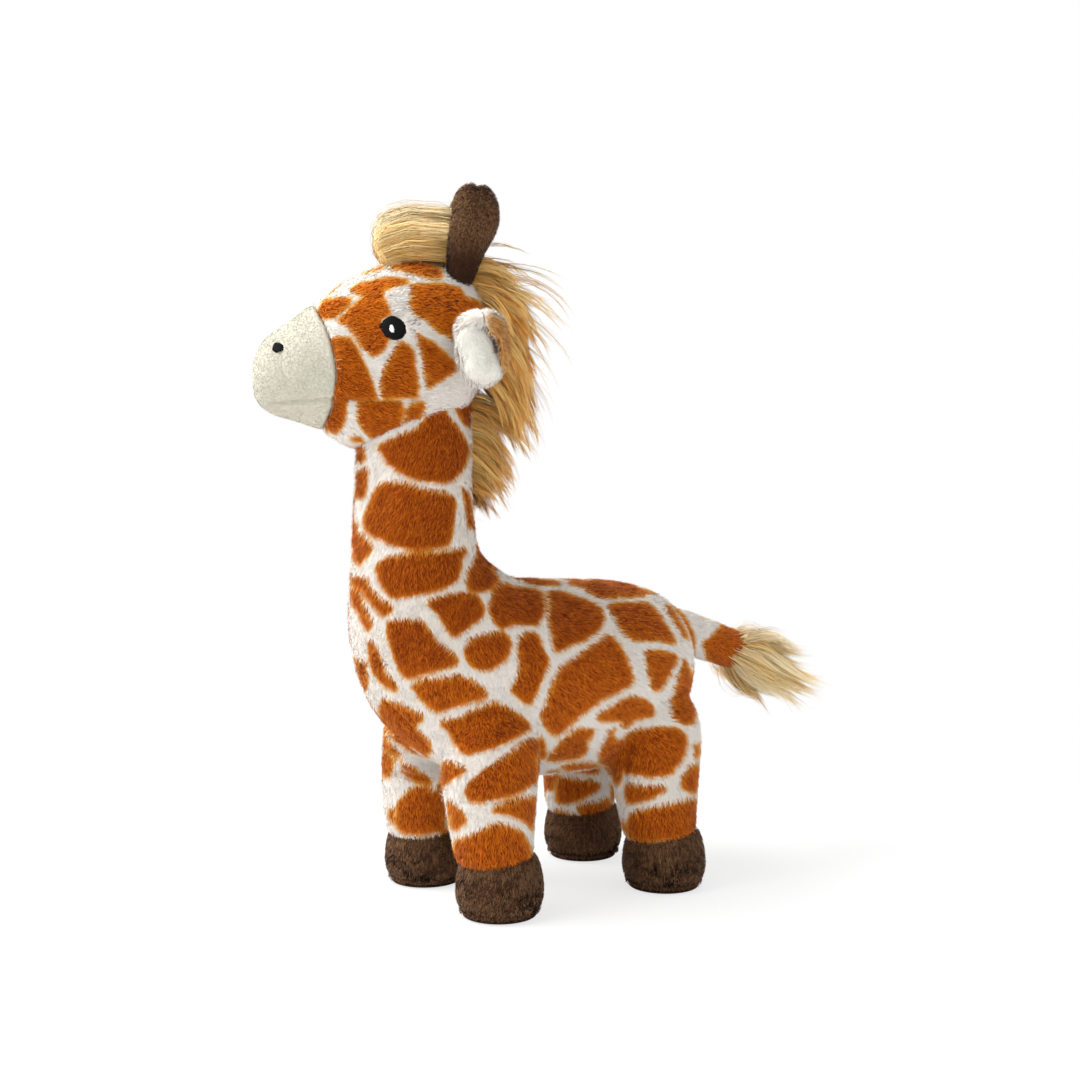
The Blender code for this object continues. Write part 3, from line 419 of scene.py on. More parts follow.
def joined(parts):
    """Several closed skins as one mesh."""
    bm = bmesh.new()
    for part in parts:
        mesh = bpy.data.meshes.new("part")
        part.to_mesh(mesh)
        part.free()
        bm.from_mesh(mesh)
        bpy.data.meshes.remove(mesh)
    return bm


def softened(bm, passes, factor=0.5):
    for _ in range(passes):
        bmesh.ops.smooth_vert(bm, verts=bm.verts, factor=factor,
                              use_axis_x=True, use_axis_y=True, use_axis_z=True)
    return bm


def piece_of(name, bm, finish, slot, closed=True):
    """A finished object: brought to the shared frame, smooth, with its material and its slot."""
    if closed:
        rims = [edge for edge in bm.edges if edge.is_boundary]
        if rims:
            bmesh.ops.holes_fill(bm, edges=rims, sides=0)
    bmesh.ops.recalc_face_normals(bm, faces=bm.faces)
    mesh = bpy.data.meshes.new(name)
    bm.to_mesh(mesh)
    bm.free()
    return placed(name, mesh, finish, slot)


def placed(name, mesh, finish, slot):
    mesh.transform(TOY)
    mesh.materials.clear()
    mesh.materials.append(finish)
    mesh.shade_smooth()
    piece = bpy.data.objects.new(name, mesh)
    bpy.context.scene.collection.objects.link(piece)
    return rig.slot(piece, slot)


# ---------------------------------------------------------------- body skin

RUMP_Y, BODY_LONG, BELLY_Z, BODY_DEEP, BODY_WIDE = 71.2, 160, 50.5, 83, 82
NECK_Y = -62.8
BODY_RINGS = (
    # low edge (along, up), high edge (along, up), width; along runs from the rump to the chest
    ((0.030, 0.47), (0.016, 0.65), 0.20), ((0.054, 0.25), (0.034, 0.83), 0.60),
    ((0.120, 0.08), (0.096, 0.925), 0.89), ((0.250, -0.01), (0.220, 0.98), 1.02),
    ((0.428, -0.01), (0.316, 0.99), 1.02), ((0.616, 0.01), (0.403, 0.995), 0.99),
    ((0.782, 0.10), (0.466, 1.01), 0.96), ((0.904, 0.28), (0.516, 1.01), 0.92),
    ((0.974, 0.50), (0.559, 1.02), 0.86), ((1.006, 0.74), (0.600, 1.06), 0.78),
)
# Ahead, behind, low, high
NECK_ROOT = ((26.6, 25.6, 132.0, 146.9), (25.0, 23.6, 150.6, 156.7), (24.0, 22.6, 178.0, 178.0))
NECK_RINGS = ((23.0, 196), (22.7, 212), (22.0, 226), (17.0, 234))               # radius, height
LEG_RINGS = (
    # outwards, forward, height, radius
    (23.0, 0.0, 86.0, 15.0), (25.5, 0.0, 74.0, 19.4), (27.0, 0.6, 62.0, 19.8), (27.4, 1.1, 56.0, 19.0),
    (28.6, 1.5, 46.8, 18.1), (30.2, 1.7, 35.4, 16.5), (31.2, 1.6, 26.5, 15.5), (31.6, 1.2, 20.0, 14.8),
)
LEG_PLACES = {"front_left": (1, -42.0), "front_right": (-1, -42.0),
              "rear_left": (1, 41.6), "rear_right": (-1, 41.6)}
LEG_TOP_Z = 50.0
LEG_LOW_Z = 27.0
NECK_CUT = Vector((0, -35, 136))
NECK_WAY = Vector((0, -0.478, 0.878))
NECK_BEND = 58             # length of the stretch that bends, along NECK_WAY
HIDE_VOXEL = 1.45


def body_forms():
    rings = []
    for (low_along, low_up), (high_along, high_up), wide in BODY_RINGS:
        low = Vector((0, RUMP_Y - low_along * BODY_LONG, BELLY_Z + low_up * BODY_DEEP))
        high = Vector((0, RUMP_Y - high_along * BODY_LONG, BELLY_Z + high_up * BODY_DEEP))
        rings.append(((low + high) / 2, Vector((wide * BODY_WIDE / 2, 0, 0)), (high - low) / 2))
    for ahead, behind, low_z, high_z in NECK_ROOT:
        low, high = Vector((0, NECK_Y - ahead, low_z)), Vector((0, NECK_Y + behind, high_z))
        rings.append(((low + high) / 2, Vector((ahead, 0, 0)), (high - low) / 2))
    rings += [level_ring(0, NECK_Y, height, radius) for radius, height in NECK_RINGS]
    yield loft(rings)
    for side, y in LEG_PLACES.values():
        yield loft([level_ring(side * x, y - ahead, z, radius) for x, ahead, z, radius in LEG_RINGS])


def make_hide():
    bm = worked(joined(body_forms()), "REMESH", mode="VOXEL", voxel_size=HIDE_VOXEL)
    softened(bm, 7)
    bmesh.ops.bisect_plane(bm, geom=bm.verts[:] + bm.edges[:] + bm.faces[:],
                           plane_co=NECK_CUT, plane_no=NECK_WAY)
    bmesh.ops.bisect_plane(bm, geom=bm.verts[:] + bm.edges[:] + bm.faces[:],
                           plane_co=(0, 0, LEG_TOP_Z), plane_no=(0, 0, 1))
    bmesh.ops.triangulate(bm, faces=bm.faces)
    return bm


def region_of(points):
    """Which piece of the body's skin each point belongs to."""
    points = np.atleast_2d(points)
    names = np.full(len(points), "torso", dtype="U16")
    above = (points - np.array(NECK_CUT)) @ np.array(NECK_WAY) > 0
    names[above & (points[:, 2] > LEG_TOP_Z)] = "neck"
    low = points[:, 2] < LEG_TOP_Z
    for name, (side, y) in LEG_PLACES.items():
        names[low & (points[:, 0] * side > 0) & (abs(points[:, 1] - y) < 42)] = name
    return names


# ---------------------------------------------------------------- head

HEAD_LONG, HEAD_WIDE, HEAD_TALL, NAPE_Y = 96.5, 64, 75.5, 31
HEAD_TABLE = np.array((
    # along from the nape, middle above the seat, half height, half width, as shares
    (0.000, 0.360, 0.10, 0.10), (0.028, 0.360, 0.46, 0.48), (0.120, 0.315, 0.79, 0.82),
    (0.290, 0.260, 0.99, 1.01), (0.450, 0.237, 1.01, 1.03), (0.590, 0.205, 0.89, 0.93),
    (0.720, 0.186, 0.664, 0.80), (0.850, 0.167, 0.53, 0.68), (0.955, 0.145, 0.40, 0.48),
    (1.000, 0.128, 0.15, 0.18),
))
HEAD_STOPS = (0, .028, .07, .12, .2, .29, .37, .45, .52, .59, .64, .68, .702)
MUZZLE_STOPS = (.732, .75, .79, .85, .9, .94, .97, .99, 1.0)
SEAM_ALONG = 0.72
SEAM_BOW = 8.6             # how far the seam bows back in the middle of the cheek


def head_ring(along, grow=0.0, shrink=1.0):
    row = [np.interp(along, HEAD_TABLE[:, 0], HEAD_TABLE[:, column]) for column in (1, 2, 3)]
    middle = Vector((0, NAPE_Y - along * HEAD_LONG, row[0] * HEAD_TALL))
    tall = (row[1] * HEAD_TALL / 2 + grow) * shrink
    wide = (row[2] * HEAD_WIDE / 2 + grow) * shrink
    return middle, Vector((wide, 0, 0)), Vector((0, 0, tall))


def bow(bm):
    """Draws the muzzle's seam back at half its height, on both pieces alike."""
    seam_y = NAPE_Y - SEAM_ALONG * HEAD_LONG
    for vert in bm.verts:
        share = max(0.0, 1 - ((vert.co.z - 9) / (29 if vert.co.z > 9 else 25)) ** 2)
        near = max(0.0, 1 - ((vert.co.y - seam_y) / 24) ** 2)
        vert.co.y += SEAM_BOW * share * near - 2.0 * near * near
    return bm


def make_head():
    rings = [head_ring(along) for along in HEAD_STOPS]
    rings += [head_ring(SEAM_ALONG - .006, -.5), head_ring(SEAM_ALONG + .001, -1.6),
              head_ring(SEAM_ALONG + .003, -1.6, .6)]
    bm = bow(loft(rings, 24, 3))
    bm.transform(HEAD)
    bmesh.ops.triangulate(bm, faces=bm.faces)
    return bm


def make_muzzle():
    rings = [head_ring(SEAM_ALONG - .003, -1.6, .6), head_ring(SEAM_ALONG - .001, -1.5),
             head_ring(SEAM_ALONG + .005, -.4)]
    rings += [head_ring(along, .5) for along in MUZZLE_STOPS]
    bm = bow(loft(rings, 24, 3))
    bm.transform(HEAD)
    bmesh.ops.triangulate(bm, faces=bm.faces)
    return bm


# ---------------------------------------------------------------- print

WHITE_LINE = 1.75          # half of a printed line's width
TONE_SPAN = 6.0            # millimetres from the whitest to the deepest tone


class Skin:
    """Arrays of a triangle mesh, for what is printed and sewn on it."""

    def __init__(self, bm):
        bm.normal_update()
        bm.verts.ensure_lookup_table()
        self.points = np.array([vert.co for vert in bm.verts])
        self.normals = np.array([vert.normal for vert in bm.verts])
        self.faces = np.array([[vert.index for vert in face.verts] for face in bm.faces])
        self.tree = BVHTree.FromBMesh(bm)
        self.value = np.full(len(self.points), 3.0)


def in_photo(points):
    away = points - np.array(EYE)
    depth = away @ np.array(AHEAD)
    return np.stack((CENTRE[0] + FOCUS * (away @ np.array(RIGHTWARD)) / depth,
                     CENTRE[1] - FOCUS * (away @ np.array(UPWARD)) / depth), axis=1)


def photo_ray(x, y):
    return (AHEAD + RIGHTWARD * ((x - CENTRE[0]) / FOCUS)
            - UPWARD * ((y - CENTRE[1]) / FOCUS)).normalized()


def inside_outline(points, outline):
    """How far inside an outline each point is, and negative outside it."""
    a = np.array(outline, float)
    b = np.roll(a, -1, axis=0)
    edge = b - a
    away = points[:, None] - a
    share = np.clip((away * edge).sum(2) / (edge ** 2).sum(1), 0, 1)
    distance = np.linalg.norm(away - share[..., None] * edge, axis=2).min(1)
    height = points[:, None, 1]
    crossed = (a[:, 1] > height) != (b[:, 1] > height)
    rise = np.where(edge[:, 1] == 0, 1e-9, edge[:, 1])
    meets = a[:, 0] + edge[:, 0] * (height - a[:, 1]) / rise
    odd = (crossed & (points[:, None, 0] < meets)).sum(1) % 2 == 1
    return np.where(odd, distance, -distance)


def traced_values(pixels, patches):
    value = np.full(len(pixels), -9.0)
    for outline in patches.values():
        low, high = np.min(outline, axis=0) - 20, np.max(outline, axis=0) + 20
        near = ((pixels > low) & (pixels < high)).all(1)
        value[near] = np.maximum(value[near], inside_outline(pixels[near], outline) * PIXEL)
    return value


def cell_values(points, sites, owners, seeds, radii):
    """Distance to the middle of the line between the two nearest patches."""
    value = np.empty(len(points))
    count = owners.max() + 1
    for start in range(0, len(points), 4000):
        block = points[start:start + 4000]
        far = np.linalg.norm(block[:, None] - sites, axis=2)
        nearest = np.full((len(block), count + len(seeds)), 99.0)
        for owner in range(count):
            nearest[:, owner] = far[:, owners == owner].min(1)
        nearest[:, count:] = np.linalg.norm(block[:, None] - seeds, axis=2) - radii
        three = np.partition(nearest, 2, axis=1)[:, :3]
        second, third = (three[:, 1] - three[:, 0]) / 2, (three[:, 2] - three[:, 0]) / 2
        value[start:start + 4000] = -1.4 * np.log(np.exp(-second / 1.4) + np.exp(-third / 1.4))
    return value - WHITE_LINE


def smoothstep(x, low, high):
    share = np.clip((x - low) / (high - low), 0, 1)
    return share * share * (3 - 2 * share)


def print_skin(skin, patches, pitch, blockers, seed):
    """The print: traced where the photograph shows it, carried on in like patches elsewhere."""
    to_eye = np.array(EYE) - skin.points
    to_eye /= np.linalg.norm(to_eye, axis=1)[:, None]
    facing = (to_eye * skin.normals).sum(1)
    seen = facing > 0.02
    for index in np.nonzero(seen)[0]:
        start = Vector(skin.points[index] + skin.normals[index] * 1.2)
        way = Vector(to_eye[index])
        seen[index] = not any(tree.ray_cast(start, way, 400)[0] for tree in blockers)
    traced = traced_values(in_photo(skin.points), patches)
    sites, owners = [], []
    for owner, outline in enumerate(patches.values()):
        for x, y in outline:
            hit = skin.tree.ray_cast(EYE, photo_ray(x, y))[0]
            if hit:
                sites.append(hit)
                owners.append(owner)
    sites, owners = np.array(sites), np.unique(owners, return_inverse=True)[1]
    rng = np.random.default_rng(seed)
    hidden = np.nonzero(~seen | (facing < 0.1))[0]
    points = skin.points[hidden]
    reach = pitch[hidden] if isinstance(pitch, np.ndarray) else np.full(len(hidden), pitch)
    clear = np.min([np.linalg.norm(points - site, axis=1) for site in sites], axis=0)
    clear = clear - reach * 0.52
    seeds, radii = [], []
    while True:
        open_places = np.nonzero(clear > 0)[0]
        if not len(open_places):
            break
        pick = open_places[rng.integers(len(open_places))]
        size = reach[pick] * rng.uniform(0.85, 1.15)
        seeds.append(points[pick])
        radii.append(size * 0.30)
        clear = np.minimum(clear, np.linalg.norm(points - points[pick], axis=1) - size * 0.86)
    seeds = np.array(seeds).reshape(-1, 3)
    cells = cell_values(skin.points, sites, owners, seeds, np.array(radii))
    trust = smoothstep(facing, 0.04, 0.22) * seen
    skin.value = traced * trust + cells * (1 - trust)
    return skin


# ---------------------------------------------------------------- finishes

def srgb(red, green, blue):
    def line(part):
        part /= 255
        return part / 12.92 if part <= 0.04045 else ((part + 0.055) / 1.055) ** 2.4
    return line(red), line(green), line(blue), 1


class Nodes:
    """A material or a world being wired, one node after another."""

    def __init__(self, finish, **constants):
        finish.use_nodes = True
        self.finish, self.tree = finish, finish.node_tree
        self.shader = self.tree.nodes.get("Principled BSDF") or self.tree.nodes["Background"]
        for socket, value in constants.items():
            self.shader.inputs[socket.replace("_", " ")].default_value = value

    def add(self, kind, settings=(), values=(), links=()):
        node = self.tree.nodes.new("ShaderNode" + kind)
        for name, value in dict(settings).items():
            setattr(node, name, value)
        for socket, value in dict(values).items():
            node.inputs[socket].default_value = value
        for socket, source in dict(links).items():
            self.tree.links.new(source, node.inputs[socket])
        return node

    def mix(self, share, other, output):
        """The first shader gives way to another by a share of 0 to 1."""
        mixed = self.add("MixShader", links={"Fac": share, 1: self.shader.outputs[0], 2: other.outputs[0]})
        self.tree.links.new(mixed.outputs[0], self.tree.nodes[output].inputs["Surface"])

    def attribute(self, name):
        return self.add("Attribute", {"attribute_name": name}).outputs["Fac"]

    def maths(self, operation, first, second):
        node = self.add("Math", {"operation": operation})
        for socket, value in zip(node.inputs, (first, second)):
            if isinstance(value, (int, float)):
                socket.default_value = value
            else:
                self.tree.links.new(value, socket)
        return node.outputs[0]

    def ramp(self, source, stops):
        node = self.add("ValToRGB", links={"Fac": source})
        band = node.color_ramp
        while len(band.elements) < len(stops):
            band.elements.new(0.5)
        for element, (place, colour) in zip(band.elements, stops):
            element.position = place
            element.color = colour
        return node.outputs["Color"]

    def times(self, colour, factor):
        """A colour made lighter or darker by a factor."""
        node = self.add("VectorMath", {"operation": "SCALE"})
        self.tree.links.new(colour, node.inputs[0])
        self.tree.links.new(factor, node.inputs["Scale"])
        return node.outputs[0]

    def link(self, source, socket):
        self.tree.links.new(source, self.shader.inputs[socket])
        return self.finish


def print_stops(*colours):
    """From the white of the lines to the middle of a patch, by distance from the patch's edge."""
    return tuple(zip((0.0, 0.37, 0.455, 0.525, 0.66, 0.95), colours))


PRINT_DARK = print_stops(srgb(251, 242, 232), srgb(251, 242, 232), srgb(230, 180, 116),
                         srgb(208, 114, 26), srgb(168, 72, 4), srgb(140, 52, 2))
PRINT_LIGHT = print_stops(srgb(255, 253, 248), srgb(255, 253, 248), srgb(255, 226, 170),
                          srgb(255, 190, 84), srgb(255, 150, 34), srgb(244, 130, 20))


def new_finish(name, roughness, **constants):
    return Nodes(bpy.data.materials.new(name), Roughness=roughness, **constants)


def backing_finish(name, stops, roughness=0.95):
    """The cloth under the pile, or a matt thread."""
    wired = new_finish(name, roughness, Specular_IOR_Level=0.2)
    colour = wired.ramp(wired.attribute("tone"), stops)
    place = wired.add("TexCoord").outputs["Object"]
    grain = wired.add("TexNoise", values={"Scale": 900, "Detail": 2}, links={"Vector": place})
    shade = wired.maths("MULTIPLY_ADD", grain.outputs["Fac"], 0.4)
    shade.node.inputs[2].default_value = 0.7
    return wired.link(wired.times(colour, shade), "Base Color")


def pile_finish(name, dark, light, root=0.84, roughness=0.85, **constants):
    """Fibres: the print's colour, dark or light by the strand, with painted shade: darker towards the root, lighter
    towards the tip.
    """
    constants = {"Specular_IOR_Level": 0.12, "Sheen_Weight": 0.05, "Sheen_Roughness": 0.5} | constants
    wired = new_finish(name, roughness, **constants)
    tone, along, shade = (wired.attribute(label) for label in ("tone", "along", "shade"))
    # Painted shade among the fibres: each strand is mixed lighter towards its tip here, and below it is made darker
    # towards its root.
    blend = wired.maths("ADD", wired.maths("MULTIPLY", shade, 0.8), wired.maths("MULTIPLY", along, 0.2))
    colour = wired.add("MixRGB", links={"Fac": blend, "Color1": wired.ramp(tone, dark),
                                        "Color2": wired.ramp(tone, light)}).outputs["Color"]
    depth = wired.maths("ADD", wired.maths("MULTIPLY", along, 1.0 - root), root)
    return wired.link(wired.times(colour, depth), "Base Color")


GOLD_DARK = ((0.0, srgb(208, 122, 30)), (0.5, srgb(244, 186, 84)), (1.0, srgb(254, 224, 156)))
GOLD_LIGHT = ((0.0, srgb(238, 172, 80)), (0.5, srgb(255, 230, 158)), (1.0, srgb(255, 249, 226)))


def flat_stops(colour):
    return ((0.0, colour), (1.0, colour))


# ---------------------------------------------------------------- pile

SHADES = 16


def unit(vectors):
    return vectors / np.maximum(np.linalg.norm(vectors, axis=1), 1e-9)[:, None]


def sprinkle(skin, per_mm2, rng, allowed=None):
    """Places on a skin: points, normals and print values, evenly over its area."""
    corners = skin.points[skin.faces]
    area = np.linalg.norm(np.cross(corners[:, 1] - corners[:, 0],
                                   corners[:, 2] - corners[:, 0]), axis=1) / 2
    if allowed is not None:
        area = area * allowed(corners.mean(1))
    count = int(area.sum() * per_mm2)
    chosen = rng.choice(len(area), count, p=area / area.sum())
    first, second = rng.random(count), rng.random(count)
    over = first + second > 1
    first[over], second[over] = 1 - first[over], 1 - second[over]
    share = np.stack((1 - first - second, first, second), axis=1)
    corner_ids = skin.faces[chosen]
    roots = (skin.points[corner_ids] * share[..., None]).sum(1)
    normals = unit((skin.normals[corner_ids] * share[..., None]).sum(1))
    return roots, normals, (skin.value[corner_ids] * share).sum(1)


def waves(points, length, seed):
    """A smooth random vector for every point, changing over a length."""
    rng = np.random.default_rng(seed)
    total = np.zeros((len(points), 3))
    for _ in range(6):
        way = unit(rng.normal(size=(1, 3)))[0] * tau / length * rng.uniform(0.7, 1.4)
        total += np.sin(points @ way + rng.uniform(0, tau))[:, None] * rng.normal(size=3)
    return total / 2.5


def pile(name, roots, normals, values, flow, finish, slot, rng,
         length=2.7, width=0.22, lift=0.36, clump=0.22, cell=0.9, stray=0.24, brushed=None):
    """Fibres as slim kites that rise from their roots and lie down along the nap."""
    count = len(roots)
    flow = unit(flow + waves(roots, 13, 5) * 0.22 + waves(roots, 4.5, 6) * 0.16)
    side = unit(np.cross(flow, normals))
    nap = unit(np.cross(normals, side))
    nap = unit(nap + side * rng.normal(0, stray, count)[:, None])
    angle = lift + rng.normal(0, 0.13, count) + (rng.random(count) < 0.04) * 0.25
    long = length * rng.uniform(0.72, 1.22, count)
    rising = nap * np.cos(angle + 0.22)[:, None] + normals * np.sin(angle + 0.22)[:, None]
    lying = nap * np.cos(angle - 0.12)[:, None] + normals * np.sin(angle - 0.12)[:, None]
    middle = roots + rising * (long * 0.45)[:, None]
    tip = middle + lying * (long * 0.55)[:, None]
    # Tips of one small cell lean together, as in brushed pile
    shifted = roots + waves(roots, 5, 7) * 0.6
    ways = ((side, cell), (unit(np.cross(normals, side)), cell * 2.4), (normals, cell * 3))
    cells = np.stack([(shifted * way).sum(1) / size for way, size in ways], 1)
    cells = np.floor(cells).astype(np.int64)
    keys = (cells[:, 0] * 73856093) ^ (cells[:, 1] * 19349663) ^ (cells[:, 2] * 83492791)
    _, owner = np.unique(keys, return_inverse=True)
    total = np.bincount(owner)
    gathered = np.stack([np.bincount(owner, tip[:, axis]) for axis in range(3)], 1) / total[:, None]
    tip += (gathered[owner] - tip) * clump
    cell_tone_and_painted_light = rng.random(len(total))[owner]
    # Painted light and shade: a smooth shift of the cells' random tone, lighter where light falls and darker in shade.
    if brushed:
        cell_tone_and_painted_light = cell_tone_and_painted_light + brushed(roots)
    turn = rng.normal(0, 0.5, count)
    across = unit(np.cross(nap, normals))
    across = across * np.cos(turn)[:, None] + normals * np.sin(turn)[:, None]
    half = across * (width * rng.uniform(0.7, 1.3, count) / 2)[:, None]
    points = np.stack((roots, middle + half, middle - half, tip), axis=1).reshape(-1, 3)
    base = np.arange(count)[:, None] * 4
    faces = np.concatenate((base + (0, 1, 2), base + (2, 1, 3)), axis=1).reshape(-1, 3)
    bucket = np.clip((0.3 * rng.random(count) + 0.7 * cell_tone_and_painted_light) * SHADES, 0, SHADES - 1).astype(int)
    tone = np.clip(values / TONE_SPAN + 0.5, 0.01, 0.99)
    soft = unit(normals + rng.normal(0, 0.22, (count, 3)) + nap * 0.25)
    return strand_piece(name, points, faces, 4, tone, bucket, (0.0, 0.45, 0.45, 1.0),
                        (0, 0.004, -0.004, 0), soft, finish, slot)


def strand_piece(name, points, faces, each, tone, bucket, along, spread, soft, finish, slot):
    """One mesh of many strands, with its tone, shade and length as attributes and as its own map."""
    count = len(tone)
    mesh = bpy.data.meshes.new(name)
    mesh.vertices.add(len(points))
    mesh.vertices.foreach_set("co", np.ascontiguousarray(points, np.float32).ravel())
    mesh.loops.add(faces.size)
    mesh.loops.foreach_set("vertex_index", faces.astype(np.int32).ravel())
    mesh.polygons.add(len(faces))
    mesh.polygons.foreach_set("loop_start", np.arange(0, faces.size, 3, dtype=np.int32))
    mesh.update(calc_edges=True)
    along = np.tile(np.array(along), count)
    tone_each = np.repeat(tone, each)
    shade_each = np.repeat((bucket + 0.5) / SHADES, each)
    for label, data in (("tone", tone_each), ("shade", shade_each), ("along", along)):
        attribute = mesh.attributes.new(label, "FLOAT", "POINT")
        attribute.data.foreach_set("value", data.astype(np.float32))
    chart = np.stack((tone_each + np.tile(np.array(spread), count),
                      (np.repeat(bucket, each) + 0.08 + 0.84 * along) / SHADES), axis=1)
    layer = mesh.uv_layers.new(name="OFBake")
    layer.data.foreach_set("uv", chart[faces.ravel()].astype(np.float32).ravel())
    piece = placed(name, mesh, finish, slot)
    mesh.normals_split_custom_set_from_vertices(np.repeat(soft, each, axis=0))
    return piece


def in_batches(count, most=98000):
    parts = max(1, -(-count // most))
    return np.array_split(np.arange(count), parts)


def grow(label, skin, chosen, flow_of, finish, slot, fasten, rng, **looks):
    """Pile on part of a skin, in as many pieces as its size asks for."""
    roots, normals, values = chosen
    order = np.argsort(roots[:, 1], kind="stable")
    for number, part in enumerate(in_batches(len(roots)), 1):
        rows = order[part]
        fasten(pile(f"{label}_{number}", roots[rows], normals[rows], values[rows],
                    flow_of(roots[rows], normals[rows]), finish, slot, rng, **looks))


def body_flow(points, normals):
    """The nap of body, neck and legs: down, forward on the neck, backward on the hindquarters."""
    y, z = points[:, 1], points[:, 2]
    neck = smoothstep(z, 128, 165)[:, None]
    rear = smoothstep(y, -45, 20)[:, None]
    leg = (1 - smoothstep(z, 40, 75))[:, None]
    flow = (1 - rear) * np.array((0, 0.18, -1.0)) + rear * np.array((0, 0.75, -0.68))
    flow = flow * (1 - neck) + np.array((0, -0.42, -0.9)) * neck
    return flow * (1 - leg) + np.array((0, 0.12, -1.0)) * leg


def body_brushed(points):
    """Painted shade: darker fibres on the neck, under the head, and on the saddle behind it."""
    y, z = points[:, 1], points[:, 2]
    saddle = smoothstep(z, 92, 118) * (1 - smoothstep(y, 0, 45))
    return -0.28 * saddle


def head_brushed(points):
    """Painted light: lighter fibres towards the crown, where the light falls from above."""
    return 0.65 * smoothstep(points[:, 2], 230, 256)


HEAD_AXES = np.array(HEAD.to_3x3())


def head_flow(points, normals):
    """From the nose backwards, and down the cheeks and the back of the head."""
    local = (points - np.array(HEAD_SEAT)) @ HEAD_AXES
    back = smoothstep(local[:, 1], 8, 30)[:, None]
    flow = (1 - back) * np.array((0, 1.0, -0.30)) + back * np.array((0, 0.4, -1.0))
    return flow @ HEAD_AXES.T


def outside(tree, points, depth=0.6):
    """Which points are not buried in a skin."""
    clear = np.ones(len(points), bool)
    for index, point in enumerate(points):
        place, normal, _, distance = tree.find_nearest(Vector(point), 40)
        if place is not None and (Vector(point) - place).dot(normal) < -depth:
            clear[index] = False
    return clear

# ---------------------------------------------------------------- hooves, horns, tail

HOOF_RINGS = ((27.0, 10.5), (25.9, 13.2), (24.4, 14.8), (21.5, 16.0), (17, 17.1), (12, 17.7), (7.8, 17.5),
              (5.2, 16.7), (4.1, 15.7), (3.5, 15.6), (2.8, 16.2), (1.9, 15.9), (1.2, 14.4), (1.1, 11.5))
SOLE_RINGS = ((1.4, 11.5), (1.3, 14.6), (0.9, 15.3), (0.4, 15.1), (0.1, 14.2), (0.0, 12.0))
HOOF_BACK = 0.8            # how far the feet stand behind the middle of their legs
HORN_ROOTS = {"left": Vector((18.91, -51.24, 262.59)), "right": Vector((-3.30, -40.89, 262.59))}
HORN_LEAN = radians(-11.5)
HORN_RINGS = (
    # height above the joint, radius
    (-6.0, 4.8), (0.9, 5.9), (7.5, 7.3), (11.9, 8.1), (16.3, 9.4), (21.8, 10.0), (27.3, 9.9),
    (31.0, 8.7), (34.0, 6.3), (35.6, 3.6), (36.1, 1.5),
)
HORN_FLAT = 0.92           # its thickness across the seam, of its width
TAIL_ROOT = Vector((0, 73.91, 107.6))
TAIL_WAY = Vector((0, 0.9455, -0.3256))
TAIL_RINGS = ((-19, 6.8), (-12, 8.0), (-4, 8.9), (5, 9.0), (14, 8.9), (22, 8.7), (29, 8.5),
              (34.5, 8.2), (36.2, 7.0))


def make_hoof(leg):
    side, y = LEG_PLACES[leg]
    return loft([level_ring(side * 32.0, y + HOOF_BACK, z, radius) for z, radius in HOOF_RINGS])


def make_sole(leg):
    side, y = LEG_PLACES[leg]
    return loft([level_ring(side * 32.0, y + HOOF_BACK, z, radius) for z, radius in SOLE_RINGS])


def horn_place(side):
    return (Matrix.Translation(HORN_ROOTS[side]) @ Matrix.Rotation(HEAD_TURN, 4, "Z")
            @ Matrix.Rotation(HORN_LEAN, 4, "X"))


def make_horn(side):
    """A club of two panels, with a nick where their seam ends at the top."""
    rings = [(Vector((0, 0, z)), Vector((radius, 0, 0)), Vector((0, radius * HORN_FLAT, 0)))
             for z, radius in HORN_RINGS]
    bm = loft(rings, 16, 3)
    for vert in bm.verts:
        crown = max(0.0, min((vert.co.z - 24) / 12, 1))
        vert.co.z -= 1.7 * crown * 2.718 ** (-((vert.co.y + 0.6) / 1.6) ** 2)
        vert.co.x *= 1 - 0.05 * 2.718 ** (-(vert.co.y / 1.3) ** 2)
        vert.co.y += 1.5 * 2.718 ** (-((vert.co.z - 21) / 9) ** 2)
    bm.transform(horn_place(side))
    return bm


def tail_ring(along, radius):
    up = Vector((1, 0, 0)).cross(TAIL_WAY)
    return TAIL_ROOT + TAIL_WAY * along, Vector((radius, 0, 0)), up * radius


def make_tail():
    bm = loft([tail_ring(*ring) for ring in TAIL_RINGS], 20, 3)
    bmesh.ops.triangulate(bm, faces=bm.faces)
    return bm


# ---------------------------------------------------------------- ears

EAR_ROOTS = {"left": Vector((29.79, -53.13, 243.71)), "right": Vector((-11.74, -33.76, 243.71))}
EAR_DROOP, EAR_YAW = radians(26), radians(4)
EAR_HANG = Vector((0, 2.6, -4.6))      # from the joint to the top of the ear
EAR_LONG, EAR_RADIUS = 25.4, 9.7
EAR_OUTLINE = ((0, .60), (.08, .86), (.2, .98), (.36, .98), (.58, .98), (.78, .94), (.92, .80), (1, .50))
EAR_FRONT = ((0, 179), (.40, 179), (.50, 112), (.62, 80), (1, 62))     # how far each edge rolls round
EAR_REAR = ((0, 179), (.40, 179), (.52, 142), (.75, 130), (1, 114))
EAR_ROWS, EAR_COLUMNS = 22, 30
PUFF_RINGS = (
    # below the top, behind the middle, half its breadth, outwards, half its depth
    (4.0, -2.0, 3.0, 10.5, 3.2), (7.5, -3.2, 5.2, 11.5, 5.8), (11.0, -4.3, 6.7, 11.6, 7.3),
    (14.0, -3.1, 6.8, 10.7, 6.8), (17.0, -1.6, 6.0, 9.9, 6.3), (20.6, -0.7, 6.4, 9.3, 6.1),
    (23.8, 0.0, 7.0, 8.8, 6.0), (26.2, 0.4, 6.3, 8.5, 5.3), (27.5, 0.5, 4.2, 8.3, 3.6),
)


